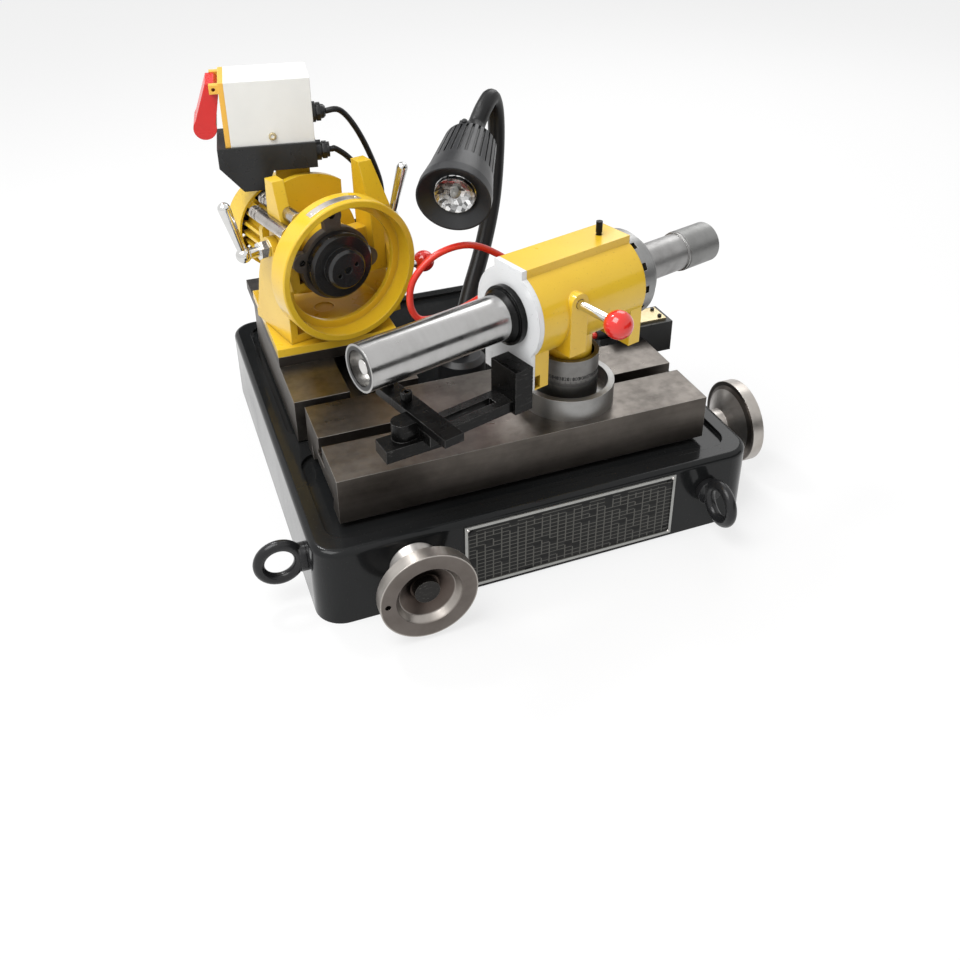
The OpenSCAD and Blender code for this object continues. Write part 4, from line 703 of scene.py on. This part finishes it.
# %% Gooseneck, hose and leads
NECK_D, HOSE_D, LEAD_D = 0.021, 0.008, 0.007
NECK = smooth(millimetres([
    (0, 15, 122), (0, 15, 132.5), (0, 15, 143), (6, 24, 161), (24, 46, 189), (50, 71, 232), (72, 93, 286),
    (84, 110, 343), (86, 116, 387), (77, 107, 411), (62, 93, 405), (47.93, 81.18, 389.25),
    (40.97, 69.59, 385.62), (34, 58, 382)]), 8)
neck = link("gooseneck_tube", tube_mesh("gooseneck_tube", NECK, NECK_D), BLACK_RUBBER, "base")
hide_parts("gooseneck")

HOSE = smooth(millimetres([
    (152, -50, 150), (144, -50, 150), (136, -50, 150), (125, -47, 159), (106, -40, 182), (76, -28, 228),
    (40, -20, 262), (0, -19, 283), (-40, -20, 278), (-68, -22, 254), (-75, -25, 226), (-66, -27, 205),
    (-44, -30, 204), (-19, -38, 214), (2, -50, 231), (13, -62, 249), (18.3, -73, 259.5), (21.1, -83, 262),
    (23.8, -92.1, 262)]))
hose = link("air_hose_tube", tube_mesh("air_hose_tube", HOSE, HOSE_D), RED_HOSE)
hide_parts("air_hose")
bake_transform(hose)
round(length_of(HOSE), 3)

GLAND_FRONT, HIGH_GLAND, LOW_GLAND = -0.020, 0.154, 0.108
HIGH_LEAD = smooth(
    [SWITCH @ Vector((x, GLAND_FRONT, HIGH_GLAND)) for x in (0.052, 0.068)]
    + [HEAD @ p for p in millimetres([(76, 32, 131), (97, 38, 93), (115, 44, 46), (119, 54, 12),
                                      (106, 66, -8), (86, 76, -12), (68, 76, -12), (54, 76, -12)])])
LOW_LEAD = smooth(
    [SWITCH @ Vector((x, GLAND_FRONT, LOW_GLAND)) for x in (0.053, 0.0565, 0.060)]
    + [HEAD @ p for p in millimetres([(62, 29, 96), (77, 34, 78), (88, 44, 54), (88, 60, 28), (74, 76, 9),
                                      (64, 76, 9), (54, 76, 9)])])
for name, route in (("high_switch_lead", HIGH_LEAD), ("low_switch_lead", LOW_LEAD)):
    lead = link(name, tube_mesh(name, route, LEAD_D), BLACK_RUBBER, "wheel_head")
    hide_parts("switch_leads")
    round(length_of(route), 3)
print("cords:", [round(length_of(r), 3) for r in (HOSE, HIGH_LEAD, LOW_LEAD)])

# %% [markdown]
# A lead enters a box through a gland: a flanged body, a nut with flats and a domed cap that grips the lead.
# The outline is spun about its axis, and the nut is a short bar with six sides. The lower gland's body is
# part of the terminal box, so only its nut is drawn here.

# %% Cable glands
GLAND = [(0.0, 0.0), (0.012, 0.0), (0.012, 0.004), (0.0085, 0.0048), (0.0085, 0.011), (0.0078, 0.0138),
         (0.0058, 0.0158), (0.0036, 0.016), (0.0, 0.016)]
NUT_UP, NUT_ROUND = 0.0075, 0.0006
HIGH_OUT, LOW_OUT = 0.036, 0.047


def hex_nut(radius, depth):
    nut = bmesh.new()
    bmesh.ops.create_cone(nut, cap_ends=True, segments=6, radius1=radius, radius2=radius, depth=depth)
    soften(nut, nut.edges[:], NUT_ROUND)
    return nut


def gland_place(out, up):
    return SWITCH @ Matrix.Translation((out, GLAND_FRONT, up)) @ Matrix.Rotation(math.radians(90), 4, "Y")


high_nut = moved(hex_nut(radius=0.0112, depth=0.0055), Matrix.Translation((0, 0, NUT_UP)))
high_shape = moved(joined([spun(GLAND, 40), high_nut]), gland_place(HIGH_OUT, HIGH_GLAND))
high_gland = piece("high_lead_gland", high_shape, BLACK_SHELL, "wheel_head")
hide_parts("switch_leads")
piece("low_lead_gland", hex_nut(radius=0.0108, depth=0.006), BLACK_SHELL, "wheel_head",
      gland_place(LOW_OUT, LOW_GLAND))
print("glands:", 2)

# %% [markdown]
# The drum under the work head is a protractor: a ring of engraved lines with a number at every tenth degree.
# The lines are thin bars let into the surface, long at the tens and short between them. Numbers are text that
# is made a mesh, and each is set on the drum at its own angle.

# %% Graduated drum
DRUM_R = 0.033
SCALE_Z = 0.178
DRUM_AXIS = Matrix.Translation((*WORK_PLACE[:2], 0))
LINE_HALF, LINE_IN, LINE_OUT = 0.00021, 0.0004, 0.00008
LONG_LINE, SHORT_LINE = 0.0062, 0.0036
NUMBER_SIZE, NUMBER_DEPTH, NUMBER_IN, NUMBER_UP = 0.006, 0.00025, 0.0001, 0.0075
INK = moulded("engraved_ink", (0.012, 0.012, 0.012), rough=0.5, grain=0.02, haze=0.3)
bars = []
for degree in range(0, 360, 2):
    tall = LONG_LINE if degree % 10 == 0 else SHORT_LINE
    bar = block((DRUM_R - LINE_IN, -LINE_HALF, SCALE_Z), (DRUM_R + LINE_OUT, LINE_HALF, SCALE_Z + tall))
    bars.append(moved(bar, Matrix.Rotation(math.radians(degree), 4, "Z")))
piece("drum_scale", joined(bars), INK, "work_head", DRUM_AXIS)
drawn = []
for degree in range(0, 360, 10):
    words = bpy.data.curves.new("number", "FONT")
    words.body = str(degree if degree <= 180 else 360 - degree)
    words.size = NUMBER_SIZE
    words.extrude = NUMBER_DEPTH
    words.align_x = "CENTER"
    holder = bpy.data.objects.new("number", words)
    mesh = bpy.data.meshes.new_from_object(holder)
    bpy.data.objects.remove(holder)
    bpy.data.curves.remove(words)
    upright = Matrix.Rotation(math.radians(90), 4, "Z") @ Matrix.Rotation(math.radians(90), 4, "X")
    out = Matrix.Translation((DRUM_R - NUMBER_IN, 0, SCALE_Z + NUMBER_UP))
    around = Matrix.Rotation(math.radians(degree), 4, "Z") @ out
    shape = bmesh.new()
    shape.from_mesh(mesh)
    bpy.data.meshes.remove(mesh)
    drawn.append(moved(shape, around @ upright))
piece("drum_numbers", joined(drawn), INK, "work_head", DRUM_AXIS)
print("drum lines:", len(bars), "numbers:", len(drawn))

# %% [markdown]
# The top of the wheel guard carries a thin bare strip with a rivet at each end. A flat outline is spun
# through part of a turn about the grinding spindle, so the strip follows the ring.

# %% Guard strip
GUARD_R = 0.0855
STRIP_START, STRIP_SPAN, RIVET_DEGREES = 75.0, 44.0, 3
STRIP_FRONT, STRIP_REAR = -0.073, -0.062
STRIP_SINK, STRIP_RISE, RIVET_RISE = 0.0002, 0.0006, 0.0004
STRIP_IN, STRIP_OUT = GUARD_R - STRIP_SINK, GUARD_R + STRIP_RISE
strip = bmesh.new()
edge_loop = [strip.verts.new((r, y, 0)) for r, y in ((STRIP_IN, STRIP_FRONT), (STRIP_OUT, STRIP_FRONT),
                                                     (STRIP_OUT, STRIP_REAR), (STRIP_IN, STRIP_REAR))]
outline = strip.faces.new(edge_loop)
bmesh.ops.spin(strip, geom=[outline] + edge_loop + outline.edges[:], axis=(0, -1, 0), cent=(0, 0, 0),
               angle=math.radians(STRIP_SPAN), steps=26)
bmesh.ops.transform(strip, matrix=Matrix.Rotation(math.radians(-STRIP_START), 4, "Y"), verts=strip.verts)
BARE = lathe("bare_strip_metal", (0.66, 0.63, 0.6), (0.42, 0.36, 0.33), GRINDING_LINE, rough=0.3, ring=0.1)
piece("guard_strip", strip, BARE, "wheel_head", HEAD)
rivets = []
for degree in (STRIP_START + RIVET_DEGREES, STRIP_START + STRIP_SPAN - RIVET_DEGREES):
    rivet = spun([(0.0, -0.0004), (0.0016, -0.0004), (0.0016, 0.0003), (0.0011, 0.0008), (0.0, 0.001)], 20)
    out = Matrix.Translation((0, (STRIP_FRONT + STRIP_REAR) / 2, GUARD_R + RIVET_RISE))
    rivets.append(moved(rivet, Matrix.Rotation(math.radians(90 - degree), 4, "Y") @ out))
piece("guard_strip_rivets", joined(rivets), BARE, "wheel_head", HEAD)
print("guard strip spans", STRIP_SPAN, "degrees")

# %% [markdown]
# The lamp holds a small mirror of many flat facets with a bulb capsule in its middle. The mirror is a shallow
# bowl that is spun in a few steps and left flat shaded, with each ring turned by half a facet against the
# last, so that neighbouring facets catch different light. Its tone also varies from a cell pattern, which
# paints glints on the facets. A clip with a stud sits on the side of the lamp's shell.

# %% Lamp mirror, bulb and clip
FACETS, RING_STEP = 20, 0.0045
MIRROR = Finish("lamp_mirror", 0.16, 1.0)
cells = MIRROR.node("ShaderNodeTexVoronoi", {}, {"Vector": MIRROR.coordinates(), "Scale": 210.0},
                    output="Color")
# painted glints: each cell of the mirror gets its own brightness
glints = MIRROR.ramp(MIRROR.split(cells)[0], (0.15, 0.16), (0.5, 0.5), (0.85, 0.9))
MIRROR.set(Base_Color=glints, Roughness=0.12 + MIRROR.split(cells)[1] * 0.2,
           Normal=MIRROR.bump(MIRROR.noise(500.0, 2.0), 0.1, distance=0.0004))
bowl = spun([(0.0, 0.0), (0.0045, 0.0004), (0.009, 0.0012), (0.0135, 0.0024), (0.018, 0.004), (0.0222, 0.006),
             (0.0226, 0.006), (0.0226, -0.0002), (0.0, -0.0002)], FACETS)
for corner in bowl.verts:
    ring = round(corner.co.xy.length / RING_STEP)
    if ring % 2 and corner.co.z > 0:
        corner.co = Matrix.Rotation(math.pi / FACETS, 3, "Z") @ corner.co
BULB_OUT = Matrix.Translation((0, 0, 0.1092))
piece("lamp_facets", moved(bowl, BULB_OUT), MIRROR, "base", LAMP, 3.0)
CAPSULE = moulded("bulb_capsule", (0.24, 0.235, 0.22), rough=0.12, grain=0.02, haze=0.4, coat=0.6)
capsule = spun([(0.0, 0.0), (0.0052, 0.0), (0.0054, 0.002), (0.0048, 0.0044), (0.0034, 0.0062),
                (0.0016, 0.0071), (0.0, 0.0073)], 28)
piece("lamp_bulb", moved(capsule, BULB_OUT), CAPSULE, "base", LAMP)
CLIP_LOW, CLIP_HIGH = Vector((-0.0305, -0.011, 0.012)), Vector((-0.018, 0.001, 0.019))
STUD_PLACE = (CLIP_LOW.x, (CLIP_LOW.y + CLIP_HIGH.y) / 2, (CLIP_LOW.z + CLIP_HIGH.z) / 2)
stud = spun([(0.0, 0.0), (0.0032, 0.0), (0.0032, 0.0016), (0.0024, 0.0024), (0.0, 0.0026)], 20)
moved(stud, Matrix.Translation(STUD_PLACE) @ Matrix.Rotation(math.radians(-90), 4, "Y"))
clip = joined([block(CLIP_LOW, CLIP_HIGH, round_by=0.0014, segments=3), stud])
piece("lamp_clip", clip, BLACK_LAMP, "base", LAMP)
dress(MIRROR, "lamp_lens", "lamp_reflector")
print("lamp facets:", FACETS, "in each ring")

# %% [markdown]
# Screws hold the covers. A cap screw is a short round bar with a rounded edge and a round socket, made by
# insetting its top and pushing the inset down. A rivet is a low dome that is spun from its outline.

# %% Screws
ROUND_SHARE, WALL_SHARE, SOCKET_SHARE = 0.06, 0.2, 0.5


def cap_screw(diameter, height):
    shape = bmesh.new()
    radius = diameter / 2
    bmesh.ops.create_cone(shape, cap_ends=True, segments=24, radius1=radius, radius2=radius, depth=height)
    bmesh.ops.translate(shape, vec=(0, 0, height / 2), verts=shape.verts)
    top = max(shape.faces, key=lambda f: f.calc_center_median().z)
    soften(shape, list(top.edges), diameter * ROUND_SHARE)
    top = max(shape.faces, key=lambda f: f.calc_center_median().z)
    bmesh.ops.inset_region(shape, faces=[top], thickness=diameter * WALL_SHARE)
    pushed = bmesh.ops.extrude_discrete_faces(shape, faces=[top])["faces"][0]
    bmesh.ops.translate(shape, vec=(0, 0, -height * SOCKET_SHARE), verts=pushed.verts)
    return shape


FORWARDS = Matrix.Rotation(math.radians(90), 4, "X")
VALVE_INSET, RIVET_INSET = 0.006, 0.0035
CAP_LOBES, CAP_FRONT = ((92.0, 0.059), (166.0, 0.045), (354.0, 0.043)), -0.0366
BOX_SCREW_PLACE = (-0.0115, -0.0365, 0.134)
REST_PLACES = ((-0.197, 0.020, -0.0687), (-0.197, 0.054, -0.0687))
valve_low, valve_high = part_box("valve_cover")
screws = []
for x in (valve_low[0] + VALVE_INSET, valve_high[0] - VALVE_INSET):
    for y in (valve_low[1] + VALVE_INSET, valve_high[1] - VALVE_INSET):
        on_top = Matrix.Translation((x, y, valve_high[2]))
        screws.append(moved(cap_screw(diameter=0.005, height=0.0025), on_top))
piece("valve_cover_screws", joined(screws), SCREW_DARK, "table")
screws = []
for degree, out in CAP_LOBES:
    around = Matrix.Rotation(math.radians(-degree), 4, "Y") @ Matrix.Translation((out, CAP_FRONT, 0))
    screws.append(moved(cap_screw(diameter=0.0074, height=0.0072), HEAD @ around @ FORWARDS))
piece("bearing_cap_screws", joined(screws), SCREW_DARK, "wheel_head")
box_screw = moved(cap_screw(diameter=0.0088, height=0.0030), FORWARDS)
piece("switch_box_screw", box_screw, BRASS, "wheel_head",
      SWITCH @ Matrix.Translation(BOX_SCREW_PLACE))
pins = []
for x in (PLATE_LOW[0] + RIVET_INSET, PLATE_HIGH[0] - RIVET_INSET):
    for z in (PLATE_LOW[2] + RIVET_INSET, PLATE_HIGH[2] - RIVET_INSET):
        pin = spun([(0.0, -0.0003), (0.0017, -0.0003), (0.0017, 0.0002), (0.0012, 0.0008), (0.0, 0.001)], 20)
        pins.append(moved(pin, Matrix.Translation((x, PLATE_LOW[1], z)) @ FORWARDS))
piece("spec_plate_rivets", joined(pins), BARE, "base")
screws = []
for place in REST_PLACES:
    screws.append(moved(cap_screw(diameter=0.012, height=0.010), WORK @ Matrix.Translation(place)))
rest_caps = piece("rest_cap_screws", joined(screws), REST_BLACK, "rest_plate")
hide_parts("rest_screws")
print("screws and rivets:", 14)

# %% [markdown]
# The machine stands on a pale floor. The floor is a plain matt sheet that shows nearly white to the camera
# and to bright metal, and still takes the machine's soft shadow. Its shader mixes pale paint with a white
# glow, and only rays from the camera, a mirror or glass see the glow, because lamps are to light the machine.

# %% Floor
FLOOR_HALF, FLOOR_GLOW = 20.0, 0.72
floor_mesh = bpy.data.meshes.new("floor")
sheet = bmesh.new()
bmesh.ops.create_grid(sheet, x_segments=1, y_segments=1, size=FLOOR_HALF)
sheet.to_mesh(floor_mesh)
sheet.free()
floor = bpy.data.objects.new("floor", floor_mesh)
bpy.context.scene.collection.objects.link(floor)
pale = Finish("pale_floor", 0.9)
pale.set(Base_Color=(0.86, 0.86, 0.86))
seen = [pale.node("ShaderNodeLightPath", output=name)
        for name in ("Is Camera Ray", "Is Glossy Ray", "Is Transmission Ray")]
white = pale.node("ShaderNodeEmission", {}, {"Color": (1, 1, 1, 1), "Strength": 1.0})
both = pale.node("ShaderNodeMixShader", {}, {0: (seen[0] + seen[1] + seen[2]) * FLOOR_GLOW})
mixer = both.socket.node
pale.tree.links.new(pale.shader.outputs[0], mixer.inputs[1])
pale.tree.links.new(white.socket, mixer.inputs[2])
pale.tree.links.new(both.socket, pale.tree.nodes["Material Output"].inputs["Surface"])
floor.data.materials.append(pale.material)
print("floor is", 2 * FLOOR_HALF, "m wide")

# %% [markdown]
# White surroundings fill the shadows softly. The camera, mirrors and glass see them plain white, while the
# light that they put on the machine is weaker, so that the lamps still shape it.

# %% Surroundings
WORLD_SEEN, WORLD_FILL = 1.0, 0.55
world = bpy.data.worlds.new("studio")
bpy.context.scene.world = world
world.use_nodes = True
tree = world.node_tree
paths = tree.nodes.new("ShaderNodeLightPath")
shown, lit = tree.nodes["Background"], tree.nodes.new("ShaderNodeBackground")
for background, strength in ((shown, WORLD_SEEN), (lit, WORLD_FILL)):
    background.inputs["Color"].default_value = (1, 1, 1, 1)
    background.inputs["Strength"].default_value = strength
choose = tree.nodes.new("ShaderNodeMixShader")
seen_by = paths.outputs["Is Camera Ray"]
for name in ("Is Glossy Ray", "Is Transmission Ray"):
    either = tree.nodes.new("ShaderNodeMath")
    either.operation = "MAXIMUM"
    tree.links.new(seen_by, either.inputs[0])
    tree.links.new(paths.outputs[name], either.inputs[1])
    seen_by = either.outputs[0]
tree.links.new(seen_by, choose.inputs[0])
tree.links.new(lit.outputs[0], choose.inputs[1])
tree.links.new(shown.outputs[0], choose.inputs[2])
tree.links.new(choose.outputs[0], tree.nodes["World Output"].inputs["Surface"])
bpy.context.scene.view_settings.view_transform = "Standard"
print("surroundings fill with", WORLD_FILL)

# %% [markdown]
# One large lamp from the upper left gives the shape its light side, a weaker one from the right rear draws
# its edges, and a small one gives glossy edges a sharp glint. Polished steel in a white room looks flat, so
# two dark flags stand outside the view, as a photographer sets them: only mirror reflections see them, and
# they draw the dark bands along the quill.

# %% Lamps and flags
LAMPS = (("key", (-1.0, -0.5, 1.9), 1.3, 34), ("rim", (1.2, 1.3, 1.6), 1.2, 14),
         ("spark", (-0.5, 0.7, 1.5), 0.24, 6))
FLAGS = (("low_flag", (1.5, -1.45, 0.42), (2.6, 0.75)), ("high_flag", (0.9, 1.8, 1.35), (3.2, 0.9)))
LAMP_AIM, FLAG_AIM = Vector((0, 0, 0.15)), Vector((0, 0, 0.25))
for name, place, size, energy in LAMPS:
    lamp_data = bpy.data.lights.new(name, "AREA")
    lamp_data.energy, lamp_data.size = energy, size
    lamp = bpy.data.objects.new(name, lamp_data)
    bpy.context.scene.collection.objects.link(lamp)
    lamp.location = place
    lamp.rotation_euler = (LAMP_AIM - lamp.location).to_track_quat("-Z", "Y").to_euler()
dark = Finish("flag_cloth", 1.0)
weave = dark.ramp(dark.noise(40.0, 3.0), (0.3, 0.015), (0.7, 0.035))
dark.set(Base_Color=weave)
for name, place, size in FLAGS:
    cloth = bmesh.new()
    bmesh.ops.create_grid(cloth, x_segments=1, y_segments=1, size=0.5)
    bmesh.ops.scale(cloth, vec=(*size, 1), verts=cloth.verts)
    facing = (FLAG_AIM - Vector(place)).to_track_quat("Z", "Y").to_matrix().to_4x4()
    moved(cloth, Matrix.Translation(place) @ facing)
    mesh = bpy.data.meshes.new(name)
    cloth.to_mesh(mesh)
    cloth.free()
    mesh.materials.append(dark.material)
    flag = bpy.data.objects.new(name, mesh)
    bpy.context.scene.collection.objects.link(flag)
    flag.visible_camera = flag.visible_diffuse = flag.visible_shadow = False
print("lamps:", len(LAMPS), "flags:", len(FLAGS))
